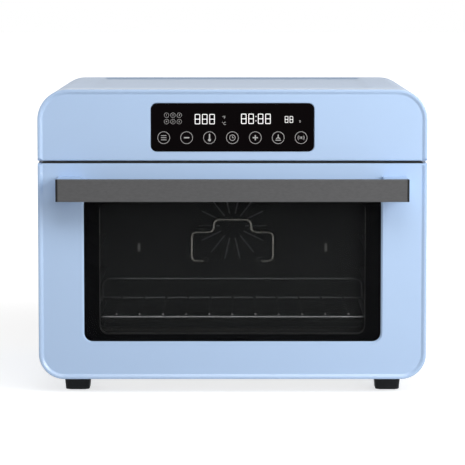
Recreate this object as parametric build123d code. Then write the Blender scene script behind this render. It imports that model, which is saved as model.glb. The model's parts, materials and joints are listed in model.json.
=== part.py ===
from build123d import *
import os
from math import cos, radians, sin, sqrt

# A bench-top convection oven for sublimation work, with a drop-down glass door, a touch panel,
# a bar handle and a small vacuum pump above the chamber. Millimetres, +Z up. The front faces -Y.
# The origin is on the bench, under the middle of the whole oven, handle and gland included.

# Driving sizes of the body
casing_width = 460.0
casing_depth = 380.0
top_corner = 36.0
bottom_corner = 30.0
casing_sheet = 1.0
rear_flange = 14.0
rear_screw_inset = 9.0
base_side = 65.0
base_lap = 18.0
base_sheet = 1.0
base_lip = 6.0
back_sheet = 1.0
back_inset = 4.6
recess_side = 63.0
recess_drop = 2.0
recess_slope = 3.0
recess_margin = 16.0

# Driving sizes of the vents
side_vent_count = 6
side_vent_pitch = 16.0
side_vent_width = 3.0
side_vent_length = 62.0
side_vent_margin = 60.0
side_vent_drop = 76.0
back_vent_count = 7
back_vent_pitch = 16.0
back_vent_width = 4.0
back_vent_length = 78.0
upper_vent_length = 30.0
base_vent_count = 6
base_vent_rows = 2
base_vent_width = 4.0
base_vent_length = 56.0

# Driving sizes of the front: the door and the control fascia share one face inside a raised rim
door_thickness = 26.0
door_lap = 13.0
fascia_height = 84.2
front_wall = 3.0
front_edge = 1.2
seam_edge = 1.0
front_gap = 3.2
rim_width = 6.0
rim_crest = 3.0
rim_depth = 1.8
casing_gap = 2.0

# Driving sizes of the door window
window_lap = 3.2
window_base = 45.7
window_drop = 39.6
window_corner = 12.0
window_bevel = 2.0
glass_thickness = 4.0
glass_lap = 9.0
inner_window_side = 17.2
inner_window_end = 6.85
inner_window_corner = 10.0
inner_glass_lap = 11.0
inner_panel_sheet = 1.0
inner_panel_inset = 0.4
panel_flange_margin = 24.0
clip_sheet = 1.0
clip_width = 16.0
clip_reach = 8.0
seal_width = 6.0
seal_offset = 4.0

# Driving sizes of the handle
handle_side = 24.0
handle_height = 26.2
handle_thickness = 9.0
handle_grip_gap = 39.0
handle_drop = 28.5
handle_edge = 0.8
handle_cap = 2.6
handle_groove_depth = 1.2
handle_groove_margin = 5.0
bracket_width = 29.0
bracket_arch = 5.0
handle_screw_gap = 2.0

# Driving sizes of the control panel
panel_width = 192.4
panel_height = 56.8
panel_corner = 7.0
panel_drop = 44.9
panel_glass = 2.0
panel_ledge = 5.0
display_width = 136.0
display_height = 24.0
display_rise = 9.5
key_count = 7
key_pitch = 27.0
key_drop = 12.3
key_pad = 7.0
board_gap = 7.0
board_thickness = 1.6
board_overhang = 11.0
board_post = 6.0
board_post_inset = 1.0
connector_width = 36.0
connector_height = 8.0
connector_depth = 6.0

# Driving sizes of the chamber
cavity_side = 58.0
cavity_height = 218.0
rear_room = 100.4
cavity_base = 26.0
cavity_corner = 8.0
liner_sheet = 0.8
frame_sheet = 1.0
frame_skirt = 10.0
frame_setback = 0.6
insulation = 11.0
wool_gap = 1.5
wool_setback = 6.0

# Driving sizes of the door hinge
hinge_radius = 9.0
hinge_eye = 5.5
hinge_pin_radius = 2.5
hinge_play = 0.05
ear_thickness = 3.0
ear_clearance = 1.0
ear_flange = (8.0, 2.0, 12.0)
leaf_thickness = 2.0
leaf_gap = 0.8
leaf_height = 40.0
leaf_sink = 2.0
cheek_rise = 13.0
leaf_base_sheet = 1.5
arm_radius = 36.0
arm_width = 6.0
arm_thickness = 2.0
arm_gap = 1.7
arm_clearance = 7.8
arm_play = 1.0
arm_tail_angle = -5.0
arm_root_angle = 112.0

# Driving sizes of the door switch
switch_inset = 22.0
switch_drop = 60.0
switch_body = (12.0, 16.0, 24.0)
switch_flange = 2.0
switch_flange_height = 32.0
plunger_radius = 1.6
plunger_play = 0.08
plunger_overlap = 8.0
plunger_room = 2.0

# Driving sizes of the rack, its runners and the tray
rack_level = 41.0
rack_front = 28.0
rack_back_gap = 26.0
rack_upstand = 24.5
rack_wire = 4.5
rack_rod = 3.0
rack_rod_side = 26.25
rack_rod_count = 11
rack_side_gap = 3.5
rack_bend = 9.0
runner_levels = 3
runner_pitch = 42.0
runner_reach = 11.0
runner_height = 8.0
runner_sheet = 1.0
runner_lip = 8.0
runner_nose = 2.4
runner_front = 12.0
runner_back = 20.0
tray_side_gap = 7.0
tray_front_gap = 2.0
tray_grip = (110.0, 12.0)
tray_height = 6.0
tray_sheet = 1.0

# Driving sizes of the heaters
heater_radius = 3.5
heater_margin = 13.0
heater_end_gap = 15.0
upper_heater_count = 2
lower_heater_count = 2
bush_width = 12.0
bush_flange = 16.0
bush_length = 9.0
rear_heater_radius = 3.2
rear_heater_gap = 11.0
rear_heater_drop = 22.5
rear_heater_step = 37.3
rear_heater_height = 53.6
rear_heater_foot = 34.5
rear_heater_half = 52.5
rear_heater_top_half = 24.0
rear_heater_bend = 7.0
rear_heater_tail = 8.0
wall_clip_inset = 51.5
wall_clip_size = (3.0, 5.0, 10.0)
wall_clip_drop = 6.0

# Driving sizes of the convection fan
fan_rise = 22.0
fan_radius = 42.0
fan_hole_radius = 48.0
fan_guard_lap = 4.0
fan_guard_sheet = 1.0
fan_guard_slots = 14
fan_guard_slot = 4.0
fan_guard_boss = 14.0
fan_blades = 10
fan_blade_depth = 14.0
fan_blade_inner = 16.0
fan_blade_sheet = 1.2
fan_blade_turn = 18.0
fan_hub_radius = 8.0
fan_setback = 14.0
fan_shaft_radius = 3.0
fan_nut_radius = 5.5
fan_play = 0.06
shaft_clearance = 2.0
housing_depth = 36.0
housing_margin = 8.0
housing_corner = 12.0
housing_sheet = 1.0
housing_lip = 9.0
motor_width = 62.0
motor_height = 70.0
motor_depth = 22.0
motor_gap = 6.0
motor_drop = 8.0
coil_size = (40.0, 24.0)
bridge_width = 64.0
bridge_height = 16.0
bridge_depth = 4.0
cooler_blades = 5
cooler_radius = 31.0
cooler_depth = 10.0
cooler_chord = 12.0
cooler_pitch = 35.0
cooler_gap = 4.0

# Driving sizes of the sensors and the vacuum line
fitting_drop = 36.0
probe_setback = 180.0
probe_reach = 32.0
probe_radius = 2.4
probe_tail = 8.0
probe_flange = (18.0, 10.0)
probe_flange_sheet = 1.2
port_radius = 4.0
port_flange = 7.0
port_length = 12.0
port_nut = 4.0
cutout_x = 60.0
cutout_setback = 70.0
cutout_size = (28.0, 18.0, 10.0)
pump_inset = 66.0
pump_setback = 120.0
pump_radius = 16.0
pump_length = 66.0
pump_head_size = 40.0
pump_head_depth = 30.0
pump_head_corner = 5.0
pump_corner = 2.0
pump_rise = 26.0
pump_mount_length = 60.0
nozzle_radius = 3.0
nozzle_length = 11.0
nozzle_inset = 9.0
nozzle_rise = 8.0
hose_radius = 4.5
hose_side_gap = 32.0
hose_bend = 14.0

# Driving sizes of the component shelf and the mains board
shelf_inset = 10.0
shelf_sheet = 1.0
shelf_lip = 8.0
shelf_air = 2.0
shelf_front_gap = 14.0
shelf_back_gap = 30.0
post_size = (10.0, 4.0)
power_inset = 30.0
power_setback = 90.0
power_width = 124.0
power_depth = 90.0
power_rise = 6.0
board_foot = 6.0
board_foot_inset = 5.0
transformer_size = (40.0, 34.0, 28.0)
transformer_place = (-32.0, -12.0)
relay_size = (28.0, 16.0, 16.0)
relay_shift = 20.0
relay_count = 3
relay_pitch = 24.0
terminal_size = (14.0, 68.0, 10.0)
terminal_shift = 50.0

# Driving sizes of the feet, the gland and the screws
foot_height = 18.0
foot_width = 31.5
foot_inset = 44.0
foot_setback = 32.0
foot_taper = 1.5
foot_corner = 4.0
foot_well = 11.0
pad_width = 20.0
pad_proud = 0.8
pad_seat = 2.0
gland_inset = 52.0
gland_height = 52.0
gland_radius = 7.0
gland_reach = 7.0
gland_collar = 3.0
gland_nose_radius = 6.0
cord_radius = 3.6
screw_radius = 1.8
screw_head_radius = 3.6
screw_head = 2.0
screw_play = 0.05

# Shared clearance between pieces that are fitted together
fit = 0.3

# Hidden round pieces are drawn with flats, and wire bends in short steps, to keep the model light
bend_steps = 4
round_sides = 24
stem_sides = 8

# Places worked out from the sizes above
handle_reach = handle_grip_gap + handle_thickness
oven_depth = handle_reach + casing_depth + back_sheet + gland_reach
front_y = handle_reach - oven_depth / 2
half_width = casing_width / 2
cavity_width = casing_width - 2 * cavity_side
door_height = cavity_base + cavity_height + door_lap
casing_height = door_height + front_gap + fascia_height
base_opening = casing_width - 2 * base_side
recess_width = casing_width - 2 * recess_side
casing_low = foot_height
casing_high = casing_low + casing_height
casing_middle = (casing_low + casing_high) / 2
casing_front = door_thickness + casing_gap
back_far = casing_depth + back_sheet
door_low = casing_low
door_high = door_low + door_height
fascia_low = door_high + front_gap
fascia_back = casing_front - fit
frame_front = casing_front + frame_setback
frame_back = frame_front + frame_sheet
cavity_low = casing_low + cavity_base
cavity_high = cavity_low + cavity_height
cavity_middle = (cavity_low + cavity_high) / 2
cavity_front = frame_back
cavity_back = casing_depth - rear_room
half_cavity = cavity_width / 2
liner_wall = half_cavity + liner_sheet
liner_roof = cavity_high + liner_sheet
window_width = cavity_width + 2 * window_lap
window_height = door_height - window_base - window_drop
window_middle = door_low + window_base + window_height / 2
inner_window_width = window_width - 2 * inner_window_side
inner_window_height = window_height - 2 * inner_window_end
face_back = rim_depth + front_wall
glass_front = face_back + fit
glass_back = glass_front + glass_thickness
inner_panel_back = door_thickness - inner_panel_inset
inner_panel_front = inner_panel_back - inner_panel_sheet
inner_glass_front = inner_panel_front - glass_thickness
seal_height = frame_front - inner_panel_back - fit
handle_length = casing_width - 2 * handle_side
handle_middle = door_high - handle_drop
handle_low = handle_middle - handle_height / 2
handle_high = handle_middle + handle_height / 2
bracket_x = handle_length / 2 - bracket_width / 2
pane_top = window_middle + window_height / 2 + glass_lap
handle_screw_z = pane_top + handle_screw_gap + screw_head_radius
panel_middle = casing_high - panel_drop
panel_glass_back = rim_depth + panel_glass
board_front = panel_glass_back + board_gap
board_back = board_front + board_thickness
board_width = panel_width + 2 * board_overhang
board_height = panel_height - fit
board_post_x = (board_width - board_post) / 2 - board_post_inset
board_post_z = (board_height - board_post) / 2 - board_post_inset
key_height = panel_middle - key_drop
hinge_depth = door_thickness - hinge_radius
hinge_height = door_low + hinge_radius
arm_x = window_width / 2 + glass_lap + arm_clearance
leaf_x = arm_x + arm_thickness + arm_gap
hinge_x = leaf_x + leaf_thickness + leaf_gap + ear_thickness / 2
ear_slot_half = ear_thickness / 2 + ear_clearance
leaf_low = hinge_height + hinge_radius - leaf_sink
switch_x = switch_inset - half_width
switch_z = door_high - switch_drop
rack_height = cavity_low + rack_level
rack_front_depth = cavity_front + rack_front
rack_back_depth = cavity_back - rack_back_gap
rack_half = half_cavity - rack_side_gap - rack_wire / 2
rack_rod_half = rack_half - rack_rod_side
rack_rod_pitch = 2 * rack_rod_half / (rack_rod_count - 1)
runner_low = rack_height - rack_wire / 2 - runner_height - runner_lip
runner_high = runner_low + (runner_levels - 1) * runner_pitch + runner_height + 2 * runner_lip
rear_heater_low = cavity_middle - rear_heater_drop
fan_z = cavity_middle + fan_rise
fan_front = cavity_back + fan_setback
fan_back = fan_front + fan_blade_depth
housing_front = cavity_back + liner_sheet
housing_back = housing_front + housing_depth
housing_half = fan_hole_radius + housing_margin
motor_front = housing_back + motor_gap
motor_back = motor_front + motor_depth
cooler_front = motor_back + cooler_gap
fitting_z = cavity_high - fitting_drop
probe_depth = cavity_front + probe_setback
cutout_depth = cavity_front + cutout_setback
blanket_top = liner_roof + fit + insulation
shelf_low = blanket_top + shelf_air
shelf_high = shelf_low + shelf_sheet
shelf_half = half_cavity - shelf_inset
shelf_front = frame_back + shelf_front_gap
shelf_back = casing_depth - shelf_back_gap
power_depth_middle = cavity_front + power_setback
power_x = shelf_half - power_inset - power_width / 2
pump_x = pump_inset - shelf_half
pump_depth = cavity_front + pump_setback
pump_front = pump_depth - pump_length / 2
pump_head_front = pump_front - pump_head_depth
pump_axis = shelf_high + pump_rise
nozzle_end = pump_x - pump_head_size / 2 - nozzle_length
inlet_depth = pump_head_front + nozzle_inset
outlet_depth = pump_front - nozzle_inset
port_depth = inlet_depth
port_tip = -liner_wall - port_length
gland_x = half_width - gland_inset
gland_z = casing_low + gland_height
foot_x = half_width - foot_inset
foot_depths = (foot_setback + foot_width / 2, casing_depth - foot_width)


def behind(distance):
    """The Y of a point at a distance behind the front of the door."""
    return front_y + distance


def point(x, depth, z):
    """A point given by its X, its distance behind the front and its Z."""
    return Vector(x, behind(depth), z)


def from_front(sketch, near, far):
    """Extrudes a sketch seen from the front between two distances behind the front."""
    plane = Plane(point(0, far, 0), x_dir=(1, 0, 0), z_dir=(0, -1, 0))
    return extrude(plane * sketch, amount=far - near)


def from_side(sketch, left, right):
    """Extrudes a sketch of distance behind the front and Z between two X."""
    plane = Plane(point(left, 0, 0), x_dir=(0, 1, 0), z_dir=(1, 0, 0))
    return extrude(plane * sketch, amount=right - left)


def block(x, depth, z):
    """A block between two X, two distances behind the front and two Z."""
    size = (x[1] - x[0], depth[1] - depth[0], z[1] - z[0])
    middle = point((x[0] + x[1]) / 2, (depth[0] + depth[1]) / 2, (z[0] + z[1]) / 2)
    return Pos(middle) * Box(*size)


def block_on(x, depth, low, size):
    """A block of a size, centred on an X and a depth, standing on a height."""
    return Pos(point(x, depth, low + size[2] / 2)) * Box(*size)


def bar(start, end, radius):
    """A straight round bar between two points."""
    along = end - start
    return Solid.make_cylinder(radius, along.length, Plane(start, z_dir=along))


def flats(radius):
    """The eight-sided section of thin stems and wires, as wide over its flats as a round one."""
    return RegularPolygon(radius, stem_sides, major_radius=False, rotation=180 / stem_sides)


def stem(start, end, radius):
    """A thin straight eight-sided stem between two points."""
    along = end - start
    return extrude(Plane(start, z_dir=along) * flats(radius), amount=along.length)


def bent_wire(points, bend, radius):
    """A wire along straight runs, with each bend made of a few short straight pieces."""
    path = FilletPolyline(*points, radius=bend)
    stops = [path @ 0]
    for run in path.edges():
        steps = bend_steps if run.geom_type == GeomType.CIRCLE else 1
        stops += [run @ (step / steps) for step in range(1, steps + 1)]
    start = Plane(path @ 0, z_dir=path % 0) * flats(radius)
    return sweep(start, Polyline(*stops), transition=Transition.RIGHT)


def both_sides(part):
    """A part and its mirror image on the other side of the oven."""
    return Compound(children=[part, mirror(part, Plane.YZ)])


def group(parts):
    """Several separate solids kept in one node."""
    solids = [solid for part in parts for solid in part.solids()]
    return Compound(children=solids)


def rounded(width, height, radius, z=0.0):
    """A rectangle with round corners on the middle line of the front."""
    return Pos(0, z) * RectangleRounded(width, height, radius)


def spread(low, high, count):
    """Evenly spaced places between two limits, half a step clear of both."""
    step = (high - low) / count
    return [low + step * (number + 0.5) for number in range(count)]


def body_outline(inset=0.0):
    """The outline of the oven seen from the front, with larger corners at the top."""
    shape = Rectangle(casing_width - 2 * inset, casing_height - 2 * inset)
    shape = fillet(shape.vertices().group_by(Axis.Y)[-1], top_corner - inset)
    shape = fillet(shape.vertices().group_by(Axis.Y)[0], bottom_corner - inset)
    return Pos(0, casing_middle) * shape


def strip(low, high):
    """A band across the whole front between two heights."""
    return Pos(0, (low + high) / 2) * Rectangle(2 * casing_width, high - low)


def hinge_bar(radius, left, right):
    """A round bar about the hinge line, between two X."""
    return bar(
        point(left, hinge_depth, hinge_height), point(right, hinge_depth, hinge_height), radius
    )


def hinge_flats(radius, left, right):
    """An eight-sided bar about the hinge line, between two X."""
    return stem(
        point(left, hinge_depth, hinge_height), point(right, hinge_depth, hinge_height), radius
    )


# Door and fascia

def face_pocket():
    """The shallow pocket that leaves the rim standing round the front, with sloping sides."""
    pocket = from_front(body_outline(rim_crest), -front_wall, rim_depth)
    floor = pocket.faces().sort_by(Axis.Y)[-1]
    return chamfer(floor.edges(), rim_width - rim_crest, rim_depth, reference=floor)


def front_slab(low, high, back):
    """The solid front between two heights, with its rim and softened outer edge."""
    slab = from_front(body_outline(), 0, back)
    slab = chamfer(slab.faces().sort_by(Axis.Y)[0].edges(), front_edge)
    slab = slab & from_front(strip(low, high), -front_wall, back)
    return slab - face_pocket()


def seam_bevel(z, side):
    """The bevel along the front edge beside the gap: side is 1 below the gap, -1 above it."""
    reach = seam_edge + rim_depth + front_wall
    corner = Polyline(
        (rim_depth + seam_edge, z), (-front_wall, z), (-front_wall, z - side * reach), close=True
    )
    return from_side(make_face(corner), -half_width, half_width)


def door_side(radius):
    """The side view of the door: its lower rear edge is round about the hinge line."""
    upright = Pos(door_thickness / 2, (hinge_height + door_high) / 2) * Rectangle(
        door_thickness, door_high - hinge_height
    )
    toe = Pos(hinge_depth / 2, hinge_height - radius / 2) * Rectangle(hinge_depth, radius)
    heel = Pos(hinge_depth, hinge_height) * Circle(radius)
    return upright + toe + heel


def door_hollow():
    """The hollow behind the door's face, open at the back."""
    outline = body_outline(front_wall) & strip(door_low, door_high - front_wall)
    hollow = from_front(outline, face_back, door_thickness)
    return hollow & from_side(door_side(hinge_radius - front_wall), -half_width, half_width)


def ear_slot():
    """The two slots at the lower rear edge of the door that clear the fixed hinge ears."""
    return both_sides(
        block(
            (hinge_x - ear_slot_half, hinge_x + ear_slot_half),
            (hinge_depth - hinge_eye - ear_clearance, door_thickness + ear_clearance),
            (door_low - ear_clearance, hinge_height + hinge_radius),
        )
    )


def door_frame():
    """The moulded door front: raised rim, window with a bevelled edge, hollow behind."""
    frame = front_slab(door_low, door_high, door_thickness)
    frame = frame & from_side(door_side(hinge_radius), -half_width, half_width)
    frame = frame - door_hollow()
    window = from_front(
        rounded(
            window_width - 2 * window_bevel,
            window_height - 2 * window_bevel,
            window_corner - window_bevel,
            window_middle,
        ),
        rim_depth,
        door_thickness,
    )
    frame = frame - window
    lip = frame.faces().filter_by(Axis.Y).filter_by_position(
        Axis.Y, behind(rim_depth) - fit, behind(rim_depth) + fit
    )
    window_edges = lip.edges().filter_by(
        lambda edge: abs(edge.center().X) < window_width / 2
        and abs(edge.center().Z - window_middle) < window_height / 2
    )
    frame = chamfer(window_edges, window_bevel)
    frame = frame - ear_slot() - seam_bevel(door_high, 1)
    for x in (-bracket_x, bracket_x):
        frame = frame - stem(
            point(x, 0, handle_screw_z), point(x, door_thickness, handle_screw_z), screw_radius + fit
        )
    return frame


def control_fascia():
    """The control front above the door, with a stepped opening for the touch glass."""
    fascia = front_slab(fascia_low, casing_high, fascia_back)
    hollow = body_outline(front_wall) & strip(fascia_low + front_wall, casing_high)
    fascia = fascia - from_front(hollow, face_back, fascia_back)
    seat = rounded(
        panel_width + 2 * fit, panel_height + 2 * fit, panel_corner + fit, panel_middle
    )
    fascia = fascia - from_front(seat, 0, panel_glass_back)
    through = Pos(0, panel_middle) * Rectangle(
        panel_width - 2 * panel_ledge, panel_height - 2 * panel_ledge
    )
    fascia = fascia - from_front(through, 0, fascia_back)
    for x in (-board_post_x, board_post_x):
        for z in (panel_middle - board_post_z, panel_middle + board_post_z):
            post = Pos(x, z) * Rectangle(board_post, board_post)
            fascia = fascia + from_front(post, face_back, board_front)
    return fascia - seam_bevel(fascia_low, -1)


# Control panel

def control_glass():
    """The black touch glass, flush with the fascia."""
    face = rounded(panel_width, panel_height, panel_corner, panel_middle)
    return from_front(face, rim_depth, panel_glass_back)


def display_module():
    """The lit display block between the board and the glass."""
    window = Pos(0, panel_middle + display_rise) * Rectangle(display_width, display_height)
    return from_front(window, panel_glass_back + fit, board_front)


def key_pads():
    """One block of conductive foam behind each touch key, from the board to the glass."""
    first = -(key_count - 1) / 2 * key_pitch
    pads = []
    for number in range(key_count):
        pad = Pos(first + number * key_pitch, key_height) * Rectangle(key_pad, key_pad)
        pads.append(from_front(pad, panel_glass_back, board_front))
    return group(pads)


def control_board():
    """The circuit board behind the touch glass, on the four posts of the fascia."""
    face = Pos(0, panel_middle) * Rectangle(board_width, board_height)
    plug = Pos(0, panel_middle) * Rectangle(connector_width, connector_height)
    board = from_front(face, board_front, board_back)
    return board + from_front(plug, board_back, board_back + connector_depth)


# Handle

def handle_section():
    """The bar seen from its end, with softened edges."""
    section = Pos(-handle_grip_gap - handle_thickness / 2, handle_middle) * Rectangle(
        handle_thickness, handle_height
    )
    return chamfer(section.vertices(), handle_edge)


def handle_bar():
    """The flat bar of the handle, with a shallow groove along its back between the brackets."""
    half = handle_length / 2 - handle_cap
    body = from_side(handle_section(), -half, half)
    groove = block(
        (-handle_length / 2 + bracket_width, handle_length / 2 - bracket_width),
        (-handle_grip_gap - handle_groove_depth, -handle_grip_gap),
        (handle_low + handle_groove_margin, handle_high - handle_groove_margin),
    )
    return body - groove


def handle_end_caps():
    """The dark caps that close both ends of the bar."""
    return both_sides(
        from_side(handle_section(), handle_length / 2 - handle_cap, handle_length / 2)
    )


def handle_brackets():
    """The two blocks that hold the bar off the door, arched on their underside."""
    root = rim_depth
    tip = -handle_grip_gap
    with BuildSketch() as side:
        with BuildLine():
            top = Line((tip, handle_high), (root, handle_high))
            foot = Line(top @ 1, (root, handle_low))
            heel = Line(foot @ 1, (root - bracket_arch, handle_low))
            arch = ThreePointArc(
                heel @ 1,
                ((root + tip) / 2, handle_low + bracket_arch),
                (tip + bracket_arch, handle_low),
            )
            nose = Line(arch @ 1, (tip, handle_low))
            Line(nose @ 1, top @ 0)
        make_face()
    bracket = from_side(side.sketch, handle_length / 2 - bracket_width, handle_length / 2)
    return both_sides(bracket)


def handle_screws():
    """One screw through the door face into each handle bracket."""
    screws = []
    for x in (-bracket_x, bracket_x):
        seat = point(x, face_back, handle_screw_z)
        head = stem(seat, point(x, face_back + screw_head, handle_screw_z), screw_head_radius)
        shank = stem(point(x, rim_depth, handle_screw_z), seat, screw_radius)
        screws.append(head + shank)
    return group(screws)


# Inner pieces of the door

def door_glass_outer():
    """The outer pane, held behind the door face."""
    pane = Pos(0, window_middle) * Rectangle(
        window_width + 2 * glass_lap, window_height + 2 * glass_lap
    )
    return from_front(pane, glass_front, glass_back)


def arm_slots(near, far):
    """The slots in a sheet between two depths that the two hinge arms go through."""
    low = arm_radius - arm_width / 2 - arm_play
    high = arm_radius + arm_width / 2 + arm_play
    return both_sides(
        block(
            (arm_x - arm_play, arm_x + arm_thickness + arm_play),
            (near, far),
            (
                hinge_height + sqrt(low**2 - (far - hinge_depth) ** 2),
                hinge_height + sqrt(high**2 - (near - hinge_depth) ** 2),
            ),
        )
    )


def door_inner_panel():
    """The steel panel that closes the door's back, with a flange that presses the outer pane."""
    outline = body_outline(front_wall + fit) & strip(hinge_height, door_high - front_wall - fit)
    panel = from_front(outline, inner_panel_front, inner_panel_back)
    window = rounded(inner_window_width, inner_window_height, inner_window_corner, window_middle)
    panel = panel - from_front(window, inner_panel_front, inner_panel_back)
    margin = 2 * panel_flange_margin
    outer = Rectangle(inner_window_width + margin, inner_window_height + margin)
    inner = Rectangle(
        inner_window_width + margin - 2 * inner_panel_sheet,
        inner_window_height + margin - 2 * inner_panel_sheet,
    )
    flange = Pos(0, window_middle) * (outer - inner)
    panel = panel + from_front(flange, glass_back + fit, inner_panel_front)
    return panel - ear_slot() - arm_slots(inner_panel_front, inner_panel_back)


def door_glass_inner():
    """The inner pane, behind the window of the inner panel."""
    pane = Pos(0, window_middle) * Rectangle(
        inner_window_width + 2 * inner_glass_lap, inner_window_height + 2 * inner_glass_lap
    )
    return from_front(pane, inner_glass_front, inner_panel_front)


def glass_clips():
    """Spring clips that press the inner pane onto the panel, three above and three below."""
    half_height = inner_window_height / 2 + inner_glass_lap
    front = inner_glass_front - clip_sheet
    clips = []
    for x in spread(-inner_window_width / 2, inner_window_width / 2, 3):
        span = (x - clip_width / 2, x + clip_width / 2)
        for side in (-1, 1):
            edge = window_middle + side * half_height
            outside = edge + side * (fit + clip_sheet)
            tongue = sorted((edge - side * clip_reach, outside))
            leg = sorted((edge + side * fit, outside))
            clips.append(
                block(span, (front, inner_glass_front), tongue)
                + block(span, (front, inner_panel_front), leg)
            )
    return group(clips)


def door_seal():
    """The silicone seal round the back of the door, thinner towards its lip."""
    inner_width = cavity_width + 2 * seal_offset
    inner_height = cavity_height + 2 * seal_offset
    inner_corner = cavity_corner + seal_offset
    outer = rounded(
        inner_width + 2 * seal_width,
        inner_height + 2 * seal_width,
        inner_corner + seal_width,
        cavity_middle,
    )
    inner = rounded(inner_width, inner_height, inner_corner, cavity_middle)
    return from_front(outer - inner, inner_panel_back, inner_panel_back + seal_height)


# Door hinges

def hinge_leaves():
    """The door's half of each hinge: a base, a cheek with a bore and a curved guide arm."""
    leaf = block(
        (arm_x, hinge_x + hinge_radius),
        (face_back, face_back + leaf_base_sheet),
        (leaf_low, leaf_low + leaf_height),
    )
    leaf = leaf + block(
        (leaf_x, leaf_x + leaf_thickness),
        (face_back, hinge_depth + hinge_eye),
        (hinge_height, leaf_low + cheek_rise),
    )
    leaf = leaf + hinge_flats(hinge_eye, leaf_x, leaf_x + leaf_thickness)
    tail = radians(arm_tail_angle)
    root = radians(arm_root_angle)
    reach = 2 * arm_radius
    sector = Polyline(
        (hinge_depth, hinge_height),
        (hinge_depth + reach * cos(tail), hinge_height + reach * sin(tail)),
        (hinge_depth + reach, hinge_height + reach),
        (hinge_depth, hinge_height + reach),
        (hinge_depth + reach * cos(root), hinge_height + reach * sin(root)),
        close=True,
    )
    inner = hinge_bar(arm_radius - arm_width / 2, arm_x, arm_x + arm_thickness)
    arm = hinge_bar(arm_radius + arm_width / 2, arm_x, arm_x + arm_thickness) - inner
    arm = arm & from_side(make_face(sector), arm_x, arm_x + arm_thickness)
    arm = arm & from_front(strip(0, casing_high), face_back, casing_depth)
    bore = hinge_bar(hinge_pin_radius + hinge_play, leaf_x, leaf_x + leaf_thickness)
    return both_sides(leaf + arm - bore)


def hinge_brackets():
    """The fixed half of each hinge: an ear through the front frame and a flange behind it."""
    left = hinge_x - ear_thickness / 2
    right = hinge_x + ear_thickness / 2
    heights = (hinge_height - hinge_eye, hinge_height + hinge_eye)
    ear = hinge_flats(hinge_eye, left, right)
    width, sheet, rise = ear_flange
    ear = ear + block((left, right), (hinge_depth, frame_back + sheet), heights)
    flange = block(
        (left - width, right), (frame_back, frame_back + sheet), (heights[0], heights[1] + rise)
    )
    return both_sides(ear + flange - hinge_bar(hinge_pin_radius, left, right))


def hinge_pins():
    """The two pins that the door turns on, pressed into the fixed ears."""
    return both_sides(hinge_bar(hinge_pin_radius, leaf_x, hinge_x + ear_thickness))


# Casing

def top_recess(drop, grow):
    """The shallow pressed field in the top, with sloping sides."""
    near = casing_front + recess_margin
    far = casing_depth - recess_margin / 2
    field = Pos(0, behind((near + far) / 2), casing_high - drop) * Rectangle(
        recess_width + 2 * grow, far - near + 2 * grow
    )
    field = extrude(field, amount=drop + casing_sheet)
    floor = field.faces().sort_by(Axis.Z)[0]
    return chamfer(floor.edges(), recess_slope, drop, reference=floor)


def outer_casing():
    """The folded wrap of the body: rounded edges, a pressed top field and louvred sides."""
    outside = from_front(body_outline(), casing_front, casing_depth)
    outside = outside - top_recess(recess_drop, 0.0)
    inside = from_front(body_outline(casing_sheet), casing_front, casing_depth - casing_sheet)
    inside = inside - top_recess(recess_drop + casing_sheet, casing_sheet / 2)
    wrap = outside - inside
    wrap = wrap - from_front(
        body_outline(rear_flange), casing_depth - casing_sheet, casing_depth
    )
    wrap = wrap - block(
        (-base_opening / 2, base_opening / 2),
        (casing_front, casing_depth - casing_sheet),
        (casing_low, casing_low + casing_sheet),
    )
    slots = []
    for number in range(side_vent_count):
        depth = casing_depth - side_vent_margin - number * side_vent_pitch
        slot = Rectangle(side_vent_width, side_vent_length)
        slots.append(Pos(depth, casing_high - side_vent_drop) * slot)
    return wrap - from_side(Sketch() + slots, -half_width, half_width)


def base_pan():
    """The bottom plate with cooling slots, lying on the inward flanges of the wrap."""
    low = casing_low + casing_sheet
    half = base_opening / 2 + base_lap
    near = frame_back + fit
    pan = block((-half, half), (near, casing_depth - casing_sheet - fit), (low, low + base_sheet))
    pan = pan + block((-half, half), (near, near + base_sheet), (low, low + base_lip))
    for x in spread(-half, half, base_vent_count):
        for depth in spread(near, casing_depth, base_vent_rows):
            slot = (base_vent_width, base_vent_length, base_sheet)
            pan = pan - block_on(x, depth, low, slot)
    return pan


def rear_panel():
    """The back cover, with slots over the motor and the electronics and a hole for the gland."""
    panel = from_front(body_outline(back_inset), casing_depth, back_far)
    first = -(back_vent_count - 1) / 2 * back_vent_pitch
    slots = []
    for number in range(back_vent_count):
        x = first + number * back_vent_pitch
        slots.append(Pos(x, fan_z) * Rectangle(back_vent_width, back_vent_length))
        slots.append(Pos(x, panel_middle) * Rectangle(back_vent_width, upper_vent_length))
    panel = panel - from_front(Sketch() + slots, casing_depth, back_far)
    panel = panel - bar(
        point(gland_x, casing_depth, gland_z),
        point(gland_x, back_far, gland_z),
        gland_radius + 2 * fit,
    )
    for x, z in rear_screw_places():
        panel = panel - stem(point(x, casing_depth, z), point(x, back_far, z), screw_radius)
    return panel


def rear_screw_places():
    """The X and Z of the screws round the back cover."""
    x = half_width - rear_screw_inset
    heights = (casing_low + 2 * bottom_corner, casing_high - 2 * top_corner)
    return [(side * x, z) for side in (-1, 1) for z in heights]


def rear_screws():
    """Screws that hold the back cover on the flange of the wrap."""
    screws = []
    for x, z in rear_screw_places():
        head = stem(point(x, back_far, z), point(x, back_far + screw_head, z), screw_head_radius)
        shank = stem(point(x, casing_depth, z), point(x, back_far, z), screw_radius - screw_play)
        screws.append(head + shank)
    return group(screws)


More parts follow.
